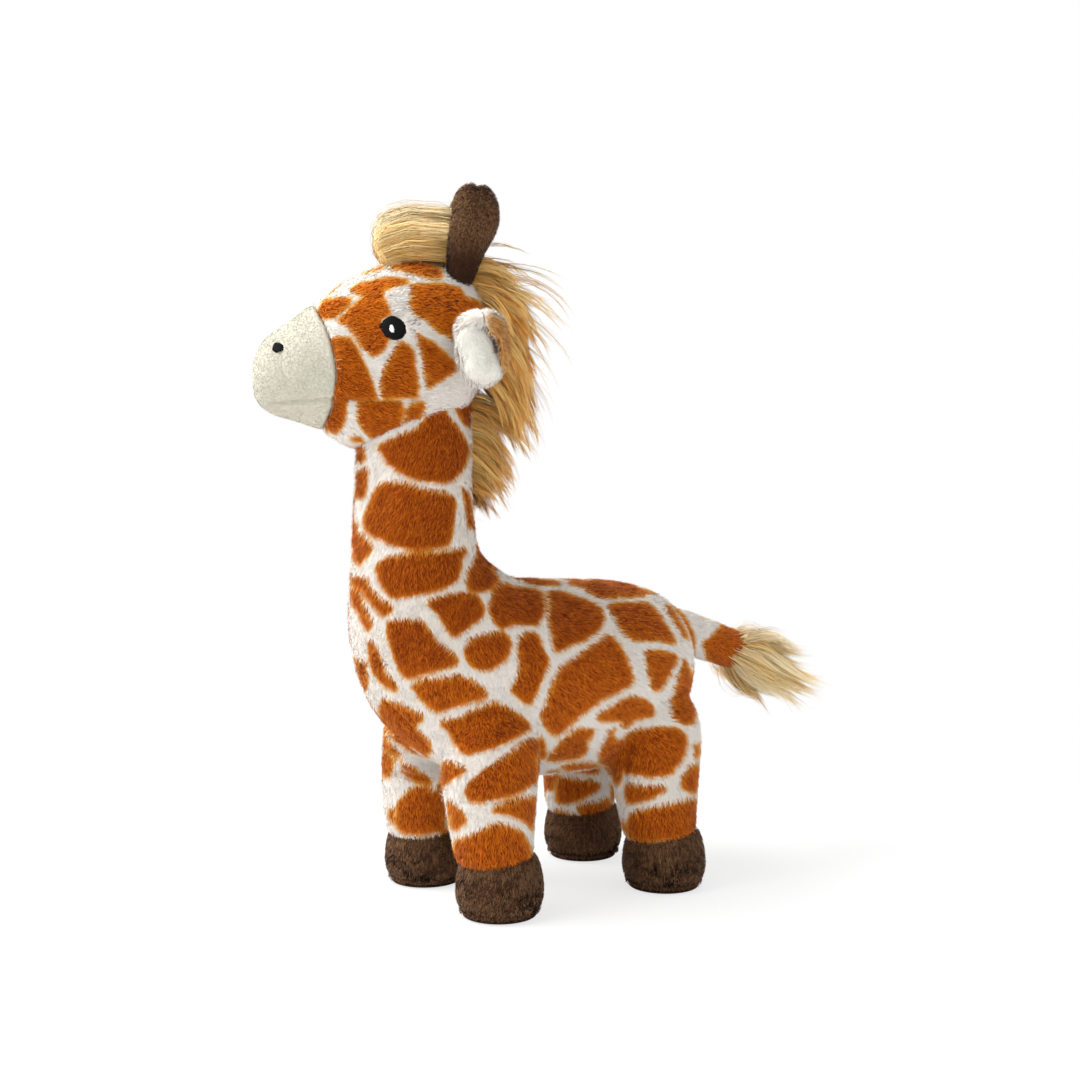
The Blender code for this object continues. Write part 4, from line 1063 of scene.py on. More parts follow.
def ear_place(side):
    sign = 1 if side == "left" else -1
    return (Matrix.Translation(EAR_ROOTS[side]) @ Matrix.Rotation(HEAD_TURN, 4, "Z")
            @ Matrix.Translation(EAR_HANG)
            @ Matrix.Rotation(sign * EAR_YAW, 4, "Z") @ Matrix.Rotation(-sign * EAR_DROOP, 4, "Y"))


def along_of(table, share):
    return np.interp(share, *zip(*table))


def leaf(side, radius, thickness, shrink=1.0):
    """A leaf rolled along its length: a grid bent round and given its thickness."""
    sign = 1 if side == "left" else -1
    bm = bmesh.new()
    bmesh.ops.create_grid(bm, x_segments=EAR_COLUMNS, y_segments=EAR_ROWS, size=1)
    inner = bmesh.ops.extrude_face_region(bm, geom=bm.faces[:])["geom"]
    inner = {part for part in inner if isinstance(part, bmesh.types.BMVert)}
    for vert in bm.verts:
        share = (1 - vert.co.y) / 2
        turn = radians(vert.co.x * along_of(EAR_FRONT if vert.co.x < 0 else EAR_REAR, share)) * shrink
        edge = (1 - abs(vert.co.x) ** 8) * (1 - abs(vert.co.y) ** 14)
        r = radius * along_of(EAR_OUTLINE, share)
        if vert in inner:
            r -= thickness * (0.35 + 0.65 * edge)
        lift = EAR_RADIUS * along_of(EAR_OUTLINE, share) - radius * along_of(EAR_OUTLINE, share)
        middle = radius * along_of(EAR_OUTLINE, share) + lift
        vert.co = (sign * (middle - r * cos(turn)), r * sin(turn),
                   -EAR_LONG * (share * shrink + (1 - shrink) * 0.8))
    bmesh.ops.recalc_face_normals(bm, faces=bm.faces)
    return softened(worked(bm, "SUBSURF", levels=1, render_levels=1), 1)


def make_ear(side):
    bm = leaf(side, EAR_RADIUS, 2.0)
    bm.transform(ear_place(side))
    bmesh.ops.triangulate(bm, faces=bm.faces)
    return bm


def make_lining(side):
    """The cream lining: it covers the inside of the leaf and puffs out of its mouth."""
    sign = 1 if side == "left" else -1
    puff = loft([level_ring(sign * out, back, -down, deep, broad)
                 for down, back, broad, out, deep in PUFF_RINGS], 16, 2)
    bm = worked(joined([leaf(side, EAR_RADIUS - 2.2, 1.7, 0.95), puff]), "REMESH",
                mode="VOXEL", voxel_size=0.6)
    softened(bm, 4)
    bm.transform(ear_place(side))
    bmesh.ops.triangulate(bm, faces=bm.faces)
    return bm


def ear_print(points, side):
    """An amber band along the rear edge, rust inside it, and a patch on the back of the ear."""
    back = np.array(ear_place(side).inverted())
    local = points @ back[:3, :3].T + back[:3, 3]
    share = -local[:, 2] / EAR_LONG
    out = local[:, 0] * (1 if side == "left" else -1)
    turn = np.degrees(np.arctan2(local[:, 1], EAR_RADIUS * along_of(EAR_OUTLINE, share) - out))
    depth = np.hypot(local[:, 1], EAR_RADIUS * along_of(EAR_OUTLINE, share) - out) / EAR_RADIUS
    band = 1 - np.maximum(abs(turn - 100) / 62, abs(share - .56) / .33)
    inner = 1 - np.maximum(abs(turn - 128) / 16, abs(share - .58) / .16)
    patch = 1 - np.hypot((turn + 12) / 44, (share - .55) / .32)
    parts = (np.minimum(band * 2.6, -0.05), np.where(depth < .9, inner * 5, -3), patch * 8)
    return np.clip(np.max(parts, 0), -3, 3)


# ---------------------------------------------------------------- embroidery

def spot(tree, x, y):
    """Where the photograph's pixel meets a skin, and the skin's way out there."""
    place, normal, _, _ = tree.ray_cast(EYE, photo_ray(x, y))
    return place, normal


def crease_line(tree, pixels, mirrored=True):
    """Close-set points of a crease that the photograph shows, on both sides of the head."""
    ends = [end for end in (spot(tree, *pixel) for pixel in pixels) if end[0]]
    lines = [[place for place, _ in ends]]
    if mirrored:
        lines.append([mirrored_spot(tree, *end)[0] for end in ends])
    points = [before.lerp(after, step / 12) for line in lines
              for before, after in zip(line, line[1:]) for step in range(13)]
    return [tree.find_nearest(point)[0] for point in points]


def from_line(points, line):
    """How far each point is from a crease, and how far above it."""
    nearest = KDTree(len(line))
    for index, place in enumerate(line):
        nearest.insert(place, index)
    nearest.balance()
    found = [nearest.find(Vector(point)) for point in points]
    away = np.array([distance for _, _, distance in found])
    above = np.array([point[2] - place.z for point, (place, _, _) in zip(points, found)])
    return away, above


def pressed(bm, line, depth, width, bulge=0.0):
    """A crease let into a skin, with the cloth above it standing proud."""
    away, above = from_line([vert.co for vert in bm.verts], line)
    bm.normal_update()
    for vert, far, up in zip(bm.verts, away, above):
        push = -depth * 2.718 ** (-(far / width) ** 2)
        if bulge:
            push += bulge * 2.718 ** (-((up - width * 2.6) / (width * 2)) ** 2) * 2.718 ** (-(far / 9) ** 2)
        vert.co += vert.normal * push
    return bm


def mirrored_spot(tree, place, normal):
    """The same place on the head's other side."""
    back = HEAD.inverted()
    local, way = back @ place, back.to_3x3() @ normal
    local.x, way.x = -local.x, -way.x
    hit, normal, _, _ = tree.find_nearest(HEAD @ local)
    return hit, normal


def satin(place, normal, tree, half_long, half_high, step, thread, rng, lift=0.3, tilt=0.12, beak=0.0):
    """Threads laid side by side over an oval, each from edge to edge."""
    ahead = (HEAD.to_3x3() @ Vector((0, -1, 0)))
    long = (ahead - normal * ahead.dot(normal)).normalized()
    high = normal.cross(long)
    if high.z < 0:
        high = -high
    high = (high + long * tilt).normalized()
    threads = []
    count = int(2 * half_high / step) + 1
    for number in range(count):
        up = -half_high + (number + 0.5) * 2 * half_high / count
        reach = half_long * max(0.0, 1 - (up / half_high) ** 2) ** 0.5
        if reach < thread:
            continue
        start = -reach - rng.uniform(-.05, .35)
        end = reach + rng.uniform(-.05, .35) + beak * 2.718 ** (-((up / half_high - .22) / .22) ** 2)
        rings = []
        for step_number in range(9):
            share = step_number / 8
            over = (4 * share * (1 - share)) ** 0.5
            point = place + long * (start + (end - start) * share) + high * (up + rng.uniform(-.03, .03))
            ground, out, _, _ = tree.find_nearest(point)
            middle = ground + out * (lift * over - thread * 0.6 * (1 - over))
            rings.append((middle, high * thread, out * thread * 0.9))
        threads.append(loft(rings, 6, 1))
    return threads


def oval_distance(points, place, normal, half_long, half_high):
    """1 on the rim of an oval of embroidery, less inside it."""
    ahead = np.array(HEAD.to_3x3() @ Vector((0, -1, 0)))
    normal = np.array(normal)
    long = ahead - normal * ahead.dot(normal)
    long /= np.linalg.norm(long)
    high = np.cross(normal, long)
    away = points - np.array(place)
    flat = ((away @ long) / half_long) ** 2 + ((away @ high) / half_high) ** 2
    return np.sqrt(flat + ((away @ normal) / (half_long * 1.5)) ** 2)


# ---------------------------------------------------------------- hair

def spline(controls, steps, ends):
    """Points along smooth curves through the controls; each curve stops at its own end share."""
    count, knots, _ = controls.shape
    first = 2 * controls[:, :1] - controls[:, 1:2]
    last = 2 * controls[:, -1:] - controls[:, -2:-1]
    padded = np.concatenate((first, controls, last), axis=1)
    rows = np.arange(count)
    line = []
    for step in range(steps + 1):
        t = step / steps * ends * (knots - 1)
        index = np.minimum(t.astype(int), knots - 2)
        u = (t - index)[:, None]
        a, b, c, d = (padded[rows, index + shift] for shift in range(4))
        line.append(0.5 * (2 * b + (c - a) * u + (2 * a - 5 * b + 4 * c - d) * u ** 2
                           + (3 * b - a - 3 * c + d) * u ** 3))
    return np.stack(line, axis=1)


def hair(name, controls, outward, tone, reach, finish, slot, rng, steps=7, width=0.22, pale=0.0):
    """Slim ribbons along splines, fading to a point."""
    count = len(controls)
    line = spline(controls, steps, reach)
    way = np.gradient(line, axis=1)
    way /= np.maximum(np.linalg.norm(way, axis=2), 1e-9)[..., None]
    turned = unit(outward + rng.normal(0, 0.4, (count, 3)))
    across = np.cross(way, turned[:, None, :])
    across /= np.maximum(np.linalg.norm(across, axis=2), 1e-9)[..., None]
    share = np.linspace(0, 1, steps + 1)
    taper = (0.75 + 0.5 * share) * (1 - share ** 3 * 0.75)
    half = across * (width / 2 * rng.uniform(0.65, 1.3, count)[:, None] * taper[None, :])[..., None]
    pairs = np.stack((line - half, line + half), axis=2)[:, :-1].reshape(count, -1, 3)
    points = np.concatenate((pairs, line[:, -1:]), axis=1)
    each = 2 * steps + 1
    pattern = []
    for step in range(steps - 1):
        a = 2 * step
        pattern += [(a, a + 1, a + 3), (a, a + 3, a + 2)]
    pattern.append((each - 3, each - 2, each - 1))
    faces = (np.arange(count)[:, None, None] * each + np.array(pattern)).reshape(-1, 3)
    bucket = np.clip((tone * 0.6 + rng.random(count) * 0.4) * SHADES, 0, SHADES - 1).astype(int)
    along = np.concatenate((np.repeat(share[:-1], 2), [1.0]))
    spread = np.concatenate((np.tile((0.004, -0.004), steps), [0]))
    base = np.clip(tone * 0.55 + rng.random(count) * 0.45 + pale, 0.02, 0.98)
    soft = unit(unit(outward) * 0.8 + rng.normal(0, 0.3, (count, 3)))
    return strand_piece(name, points.reshape(-1, 3), faces, each, base, bucket, along, spread, soft,
                        finish, slot)


LOCK_RADII = (2.8, 3.4, 3.6, 3.6, 3.4)
ROLL_WIDE, ROLL_LONG, ROLL_HIGH, ROLL_Y, ROLL_Z = 12.6, 10.7, 12.8, -1.6, 67.1
ROLL_SLANT = 2.0


def turned_by(matrix, points):
    matrix = np.array(matrix)
    return points @ matrix[:3, :3].T + matrix[:3, 3]


def falling_locks(spots, sideways, rng, long, rise, fall):
    """Guides that leave a ridge at one slope and end at another, each of its own length."""
    locks = len(spots)
    long = long * rng.uniform(0.62, 1.12, locks)
    rise, fall = (np.radians(slope + rng.normal(0, 9, locks)) for slope in (rise, fall))
    lean = sideways / 12 * 0.38 + rng.normal(0, 0.10, locks)
    knots, steps = [spots], 24
    point = spots.copy()
    for step in range(steps):
        slope = rise + (fall - rise) * ((step + 0.5) / steps) ** 0.75
        way = np.stack((lean * np.ones(locks), np.cos(slope), np.sin(slope)), 1)
        point = point + unit(way) * (long / steps)[:, None]
        if (step + 1) % 6 == 0:
            knots.append(point)
    outward = np.stack((sideways / 5, np.full(locks, .5), np.full(locks, .45)), 1)
    return np.stack(knots, axis=1), outward + rng.normal(0, .15, (locks, 3))


def in_locks(guides, outward, radii, per_lock, rng, wisps=7, fine=(1.2, 1.2, 0.9, 0.6, 0.22), stray=0.05):
    """Strands gathered in the wisps of each lock: controls, ways out, tones, and how far each reaches."""
    locks, knots, _ = guides.shape
    owner = np.repeat(np.arange(locks), per_lock)
    count = len(owner)
    wisp = owner * wisps + rng.integers(wisps, size=count)
    near, far = rng.normal(0, 0.5, (2, locks * wisps, 3))
    own = rng.normal(0, 0.5, (count, 3))
    controls = guides[owner].copy()
    for knot in range(knots):
        share = knot / (knots - 1)
        controls[:, knot] += (near[wisp] * (1 - share) + far[wisp] * share) * radii[knot] + own * fine[knot]
    wild = rng.random(count) < stray
    controls[wild, -1] += rng.normal(0, 3.5, (wild.sum(), 3))
    controls[wild, -2] += rng.normal(0, 1.8, (wild.sum(), 3))
    tones = 0.5 * rng.random(locks)[owner] + 0.5 * rng.random(locks * wisps)[wisp]
    reach = rng.uniform(0.60, 1.0, locks * wisps)[wisp] * rng.uniform(0.86, 1.0, count)
    return controls, outward[owner] + (near + far)[wisp] * 0.5 + own * 0.5, tones, reach


# ---------------------------------------------------------------- pieces

def skin_piece(name, bm, wanted, finish, slot, skin):
    """The part of a printed skin that belongs to one piece, closed where it was parted."""
    tone = bm.verts.layers.float.get("tone") or bm.verts.layers.float.new("tone")
    if skin is not None:
        for vert, value in zip(bm.verts, skin.value):
            vert[tone] = min(max(value / TONE_SPAN + 0.5, 0), 1)
    part = bm.copy()
    if wanted is not None:
        part.faces.ensure_lookup_table()
        middles = np.array([face.calc_center_median() for face in part.faces])
        lost = [part.faces[index] for index in np.nonzero(region_of(middles) != wanted)[0]]
        bmesh.ops.delete(part, geom=lost, context="FACES")
    return piece_of(name, part, finish, slot)


plush_backing = backing_finish("printed_plush_backing", PRINT_DARK)
plush_pile = pile_finish("printed_plush_pile", PRINT_DARK, PRINT_LIGHT)
cream_backing = backing_finish("cream_fleece_backing", flat_stops(srgb(208, 204, 187)))
cream_pile = pile_finish("cream_fleece_pile", flat_stops(srgb(205, 201, 184)),
                         flat_stops(srgb(217, 213, 197)), root=0.95)
lining_backing = backing_finish("ear_lining_fleece_backing", flat_stops(srgb(250, 246, 236)))
lining_pile = pile_finish("ear_lining_fleece_pile", flat_stops(srgb(250, 247, 236)),
                          flat_stops(srgb(255, 254, 249)), root=0.95)
brown_backing = backing_finish("brown_fleece_backing", flat_stops(srgb(70, 44, 28)))
brown_pile = pile_finish("brown_fleece_pile", ((0.0, srgb(42, 21, 11)), (1.0, srgb(78, 50, 28))),
                         ((0.0, srgb(88, 56, 36)), (1.0, srgb(168, 126, 88))), root=0.62)
black_thread = backing_finish("black_thread", flat_stops(srgb(3, 3, 4)), 0.8)
white_thread = backing_finish("white_thread", flat_stops(srgb(252, 252, 250)), 0.5)
sole_cloth = backing_finish("dark_brown_fleece", flat_stops(srgb(58, 38, 25)))
gold_hair = pile_finish("golden_hair", GOLD_DARK, GOLD_LIGHT, root=0.86, roughness=0.5,
                        Specular_IOR_Level=0.12)
FLEECE = {"length": 1.5, "width": 0.24, "lift": 0.60, "clump": 0.42, "cell": 1.2, "stray": 0.6}
SHEARED = {"length": 0.62, "width": 0.22, "lift": 0.20, "clump": 0.0, "cell": 0.8, "stray": 0.9}
EYE_HALF, GLINT_HALF, NOSTRIL_HALF = (5.0, 4.8), (1.15, 1.45), (2.5, 2.3)
# Fibres to a square millimetre
DENSITY = {"hide": 4.75, "head": 6.1, "muzzle": 8.0, "hoof": 5.7, "horn": 8.2, "tail": 6.5, "ear": 7.2,
           "lining": 8.2}
PILE_SEED, BODY_SEED, HEAD_SEED, TAIL_SEED = 7, 11, 12, 13
HEAD_REACH = 188        # above this the head lies over the neck's pile
COVERED_DEEP = 8.0      # pile may lie so deep in the head, since the head's turn uncovers it
HOOF_SEAM = 23.0        # the printed plush ends here
TAIL_PLUSH_END = 35.6
MANE_STRANDS = 72
NAPE_RADIUS = 22.2


def down_flow(points, normals):
    return np.tile(np.array((0.0, 0.05, -1.0)), (len(points), 1))


hide_mesh = make_hide()
head_mesh = make_head()
muzzle_mesh = make_muzzle()
hide, head, muzzle = Skin(hide_mesh), Skin(head_mesh), Skin(muzzle_mesh)

# Creases and the mouth's seam
cheek_fold = crease_line(head.tree, traced(346, 399, 360, 400.5, 378, 401, 396, 401, 412, 399, 428, 396))
nose_fold = crease_line(head.tree, traced(334, 319, 343, 312, 352, 305))
mouth_seam = crease_line(muzzle.tree, traced(268, 405, 277, 403.5, 290, 403, 306, 401.5, 320, 400,
                                             333, 398.6))
pressed(head_mesh, cheek_fold, 1.7, 1.3, 1.0)
pressed(head_mesh, nose_fold, 0.9, 1.4)
pressed(muzzle_mesh, mouth_seam, 1.25, 0.95, 0.5)
head, muzzle = Skin(head_mesh), Skin(muzzle_mesh)
body_folds = [crease_line(hide.tree, pixels, mirrored=False) for pixels in (
    traced(381, 690, 385, 700, 394, 709, 404, 719, 413, 728, 422, 740, 430, 750),
    traced(371, 702, 374, 712, 383, 730, 396, 748, 410, 757, 424, 764),
    traced(629, 728, 626, 738, 627, 747, 626, 760, 625, 774, 624, 790),
    traced(548, 761, 566, 758, 584, 758, 602, 761, 612, 754, 625, 748))]
for line, depth in zip(body_folds, (1.7, 1.0, 1.4, 0.7)):
    pressed(hide_mesh, line, depth, 1.5)
hide = Skin(hide_mesh)

# Where the face is stitched, from the photograph's near side
EYES, NOSTRILS, GLINTS = ({"left": spot(tree, x, y)} for tree, x, y in (
    (head.tree, 393.6, 328.3), (muzzle.tree, 278, 348), (head.tree, 392, 329.4)))
for places, tree in ((EYES, head.tree), (NOSTRILS, muzzle.tree), (GLINTS, head.tree)):
    places["right"] = mirrored_spot(tree, *places["left"])

# The print
leg_share = 1 - smoothstep(hide.points[:, 2], 40, 70)
blockers = (hide.tree, head.tree, muzzle.tree)
print_skin(hide, BODY_PATCHES, 27 - 7 * leg_share, blockers, BODY_SEED)
print_skin(head, HEAD_PATCHES, np.full(len(head.points), 19.0), blockers, HEAD_SEED)

NECK_START = (TOY @ NECK_CUT)
NECK_END = (TOY @ (NECK_CUT + NECK_WAY * NECK_BEND))


def ride_torso(piece):
    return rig.ride(piece, "torso")


def ride_head(piece):
    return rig.ride(piece, "head")


def bend_neck(piece):
    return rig.blend(piece, "torso", "neck", start=NECK_START, end=NECK_END)


def bend_leg(leg):
    side, y = LEG_PLACES[leg]
    start, end = TOY @ Vector((0, y, LEG_TOP_Z)), TOY @ Vector((0, y, LEG_LOW_Z))
    return lambda piece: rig.blend(piece, "torso", f"leg_{leg}", start=start, end=end)


def stuffed(piece, fill, *nodes):
    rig.padded(piece, fill=fill)
    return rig.replaces(piece, *nodes)


torso_skin = skin_piece("torso_skin", hide_mesh, "torso", plush_backing, "giraffe_plush", hide)
stuffed(ride_torso(torso_skin), 0.85, "torso_cover", "torso_filling")
neck_skin = skin_piece("neck_skin", hide_mesh, "neck", plush_backing, "giraffe_plush", hide)
stuffed(bend_neck(neck_skin), 0.9, "neck_cover", "neck_filling")
for leg in LEG_PLACES:
    leg_skin = skin_piece(f"leg_skin_{leg}", hide_mesh, leg, plush_backing, "giraffe_plush", hide)
    stuffed(bend_leg(leg)(leg_skin), 0.85, f"leg_cover_{leg}", f"leg_filling_{leg}")
head_skin = skin_piece("head_skin", head_mesh, None, plush_backing, "giraffe_plush", head)
stuffed(ride_head(head_skin), 0.9, "head_cover", "head_filling")
muzzle_skin = skin_piece("muzzle_skin", muzzle_mesh, None, cream_backing, "cream_fleece", muzzle)
stuffed(ride_head(muzzle_skin), 0.9, "muzzle_cover")

rng = np.random.default_rng(PILE_SEED)
roots, normals, values = sprinkle(hide, DENSITY["hide"], rng)
clear = np.ones(len(roots), bool)
high = np.nonzero(roots[:, 2] > HEAD_REACH)[0]
clear[high] = outside(head.tree, roots[high], COVERED_DEEP)
clear &= roots[:, 2] > HOOF_SEAM
roots, normals, values = roots[clear], normals[clear], values[clear]
where = region_of(roots)
fasteners = {"torso": ride_torso, "neck": bend_neck, **{leg: bend_leg(leg) for leg in LEG_PLACES}}
for region, fasten in fasteners.items():
    mine = where == region
    label = f"{region}_plush" if region in ("torso", "neck") else f"leg_plush_{region}"
    grow(label, hide, (roots[mine], normals[mine], values[mine]), body_flow, plush_pile,
         "giraffe_plush", fasten, rng, brushed=body_brushed)
chosen = sprinkle(head, DENSITY["head"], rng)
clear = outside(hide.tree, chosen[0], 4.0) & outside(muzzle.tree, chosen[0], 0.3)
clear &= from_line(chosen[0], cheek_fold)[0] > 0.35
for place in EYES.values():
    clear &= oval_distance(chosen[0], *place, *EYE_HALF) > 1.0
    clear &= oval_distance(chosen[0] + head_flow(*chosen[:2]) * 1.8, *place, *EYE_HALF) > 1.0
grow("head_plush", head, [part[clear] for part in chosen], head_flow, plush_pile,
     "giraffe_plush", ride_head, rng, length=2.2, brushed=head_brushed)
chosen = sprinkle(muzzle, DENSITY["muzzle"], rng)
clear = outside(head.tree, chosen[0], 0.3)
clear &= from_line(chosen[0], mouth_seam)[0] > 0.3
for place in NOSTRILS.values():
    clear &= oval_distance(chosen[0], *place, *NOSTRIL_HALF) > 1.0
grow("muzzle_pile", muzzle, [part[clear] for part in chosen], head_flow, cream_pile,
     "cream_fleece", ride_head, rng, **SHEARED)

# Hooves and soles
for leg in LEG_PLACES:
    hoof_mesh = make_hoof(leg)
    bmesh.ops.triangulate(hoof_mesh, faces=hoof_mesh.faces)
    hoof = Skin(hoof_mesh)
    hoof.value = waves(hoof.points, 14, 31)[:, 0] * 0.7 + 1.2
    hoof_piece = piece_of(f"hoof_{leg}", hoof_mesh, brown_backing, "brown_fleece")
    stuffed(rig.ride(hoof_piece, f"leg_{leg}"), 0.9, f"hoof_cover_{leg}")
    sole = piece_of(f"sole_{leg}", make_sole(leg), sole_cloth, "dark_brown_fleece")
    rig.replaces(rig.ride(sole, f"leg_{leg}"), f"hoof_sole_{leg}")
    roots, normals, values = sprinkle(hoof, DENSITY["hoof"], rng)
    clear = (roots[:, 2] > 2.2) & (roots[:, 2] < 25.2)
    grow(f"hoof_pile_{leg}", hoof, (roots[clear], normals[clear], values[clear]), down_flow, brown_pile,
         "brown_fleece", lambda piece, leg=leg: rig.ride(piece, f"leg_{leg}"), rng, **FLEECE)

# Horns
for side in ("left", "right"):
    horn_mesh = make_horn(side)
    bmesh.ops.triangulate(horn_mesh, faces=horn_mesh.faces)
    horn = Skin(horn_mesh)
    up_horn = turned_by(horn_place(side).inverted(), horn.points)[:, 2]
    horn.value = smoothstep(up_horn, 3, 17) * 6 - 3
    horn_piece = piece_of(f"horn_{side}", horn_mesh, brown_backing, "brown_fleece")
    stuffed(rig.ride(horn_piece, f"horn_{side}"), 0.9, f"horn_cover_{side}", f"horn_filling_{side}")
    chosen = sprinkle(horn, DENSITY["horn"], rng)
    clear = outside(head.tree, chosen[0])
    grow(f"horn_pile_{side}", horn, [part[clear] for part in chosen], down_flow, brown_pile,
         "brown_fleece", lambda piece, side=side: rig.ride(piece, f"horn_{side}"), rng, **FLEECE)

# Tail
tail_mesh = make_tail()
tail = Skin(tail_mesh)
print_skin(tail, TAIL_PATCHES, np.full(len(tail.points), 15.0), (hide.tree, tail.tree), TAIL_SEED)
tail_start, tail_end = TOY @ TAIL_ROOT, TOY @ (TAIL_ROOT + TAIL_WAY * 12)


def bend_tail(piece):
    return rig.blend(piece, "torso", "tail", start=tail_start, end=tail_end)


def before_tuft(middles):
    return (middles - np.array(TAIL_ROOT)) @ np.array(TAIL_WAY) < TAIL_PLUSH_END


tail_skin = skin_piece("tail_skin", tail_mesh, None, plush_backing, "giraffe_plush", tail)
stuffed(bend_tail(tail_skin), 0.85, "tail_cover", "tail_filling")
chosen = sprinkle(tail, DENSITY["tail"], rng, before_tuft)
clear = outside(hide.tree, chosen[0])
grow("tail_plush", tail, [part[clear] for part in chosen],
     lambda points, normals: np.tile(np.array(TAIL_WAY), (len(points), 1)), plush_pile,
     "giraffe_plush", bend_tail, rng, length=2.3)

# Ears
for side in ("left", "right"):
    ear_mesh = make_ear(side)
    ear = Skin(ear_mesh)
    ear.value = ear_print(ear.points, side)
    ear_piece = skin_piece(f"ear_{side}", ear_mesh, None, plush_backing, "giraffe_plush", ear)
    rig.replaces(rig.ride(ear_piece, f"ear_{side}"), f"ear_outer_{side}")
    lining_mesh = make_lining(side)
    lining = Skin(lining_mesh)
    lining_piece = piece_of(f"ear_lining_soft_{side}", lining_mesh, lining_backing, "cream_fleece")
    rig.padded(lining_piece, fill=0.6)
    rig.replaces(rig.ride(lining_piece, f"ear_{side}"), f"ear_lining_{side}")
    ride_ear = lambda piece, side=side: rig.ride(piece, f"ear_{side}")
    chosen = sprinkle(ear, DENSITY["ear"], rng)
    clear = outside(lining.tree, chosen[0] + chosen[1] * 0.8, 0.0)
    grow(f"ear_plush_{side}", ear, [part[clear] for part in chosen], down_flow, plush_pile,
         "giraffe_plush", ride_ear, rng, length=2.7, lift=0.66, stray=0.5)
    chosen = sprinkle(lining, DENSITY["lining"], rng)
    clear = outside(ear.tree, chosen[0] + chosen[1] * 0.8, 0.0)
    grow(f"ear_lining_pile_{side}", lining, [part[clear] for part in chosen], down_flow, lining_pile,
         "cream_fleece", ride_ear, rng, length=1.3, width=0.22, lift=0.6, clump=0.05, stray=0.8)

# Face
for side in ("left", "right"):
    eye_place, nostril_place, glint_place = EYES[side], NOSTRILS[side], GLINTS[side]
    threads = satin(*eye_place, head.tree, *EYE_HALF, 0.42, 0.30, rng, lift=0.75, beak=1.3)
    threads += satin(*eye_place, head.tree, EYE_HALF[0] - .5, EYE_HALF[1] - .4, 0.5, 0.36, rng,
                     lift=0.3, beak=1)
    eye = piece_of(f"eye_stitched_{side}", joined(threads), black_thread, "black_thread")
    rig.replaces(ride_head(eye), f"eye_{side}")
    threads = satin(*glint_place, head.tree, *GLINT_HALF, 0.42, 0.26, rng, lift=1.15)
    glint = piece_of(f"glint_stitched_{side}", joined(threads), white_thread, "white_thread")
    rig.replaces(ride_head(glint), f"eye_glint_{side}")
    threads = satin(*nostril_place, muzzle.tree, *NOSTRIL_HALF, 0.40, 0.28, rng, lift=0.85, tilt=0.3)
    threads += satin(*nostril_place, muzzle.tree, NOSTRIL_HALF[0] - .3, NOSTRIL_HALF[1] - .3, .5, .32,
                     rng, lift=.4)
    nostril = piece_of(f"nostril_stitched_{side}", joined(threads), black_thread, "black_thread")
    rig.replaces(ride_head(nostril), f"nostril_{side}")

# Tuft: hair swells out of the tail's end and gathers into long points
tail_end_place = np.array(TAIL_ROOT + TAIL_WAY * 35.5)
ahead, across = np.array(TAIL_WAY), np.array((1.0, 0, 0))
upward = np.array(Vector((1, 0, 0)).cross(TAIL_WAY))
locks = 36
turn, out = rng.uniform(0, tau, locks), np.sqrt(rng.uniform(0.02, 1, locks))
disc = np.stack((np.cos(turn) * out, np.sin(turn) * out), 1)
long = rng.uniform(44, 66, locks) * (1 - 0.12 * (disc[:, 1] < -.2))


def over_disc(wide, high, drop=0.0):
    return disc[:, :1] * across * wide + (disc[:, 1:] * high - drop) * upward


guides = np.stack((
    tail_end_place - ahead * 2 + over_disc(5.0, 5.0),
    tail_end_place + ahead * 5 + over_disc(8.6, 10.4, .6),
    tail_end_place + ahead * 15 + over_disc(11.0, 14.2, 2.4),
    tail_end_place + ahead * long[:, None] * .56 + over_disc(10.5, 14.5, 4.0),
    tail_end_place + ahead * long[:, None] + over_disc(13.0, 21.0, 6.5) + rng.normal(0, 1.5, (locks, 3)),
), axis=1)
outward = over_disc(1, 1) + rng.normal(0, .1, (locks, 3))
tuft = hair("tuft_hair", *in_locks(guides, outward, (4.4, 7.0, 7.6, 5.0, 2.6), 195, rng, wisps=7,
                                   fine=(2.2, 3.0, 2.6, 1.3, .3)), gold_hair, "golden_hair", rng, pale=.22)
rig.replaces(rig.ride(tuft, "tail"), "tail_tuft")


def crown_spots(sideways, turns):
    """Where rays from inside the head, turned up from straight back, leave it: in the head's own frame."""
    inner = [HEAD @ Vector((x, 5, 22)) for x in sideways]
    ways = [HEAD.to_3x3() @ Vector((0, cos(turn), sin(turn))) for turn in turns]
    return np.array([HEAD.inverted() @ head.tree.ray_cast(*ray)[0] for ray in zip(inner, ways)])


# Mane: locks rooted from the crown to the nape stand off, bend over and fall backwards
locks = 210
share = np.sort(rng.random(locks)) ** 1.1
angle = np.radians(np.interp(share, (0, 0.3, 1), (74, 48, -30)))
sideways = rng.uniform(-1, 1, locks) * np.interp(share, (0, .3, 1), (8, 11, 12))
guides, outward = falling_locks(
    crown_spots(sideways, angle), sideways, rng,
    long=np.interp(share, (0, .15, .5, 1), (33, 34, 35, 39)),
    rise=np.interp(share, (0, .15, .5, 1), (46, 14, -18, -34)),
    fall=np.interp(share, (0, .15, .5, 1), (-58, -74, -81, -84)))
mane = hair("mane_hair_head", *in_locks(turned_by(HEAD, guides), outward @ HEAD_AXES.T, LOCK_RADII,
                                        MANE_STRANDS, rng), gold_hair, "golden_hair", rng, steps=6, pale=-.22)
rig.replaces(ride_head(mane), "mane_head")

# Long thin wisps stand off the mane
locks = 54
slopes = rng.uniform(-24, 78, locks)
sideways = rng.uniform(-8, 8, locks)


def by_slope(*values):
    return np.interp(slopes, (-24, 30, 56, 78), values) + rng.uniform(-8, 8, locks)


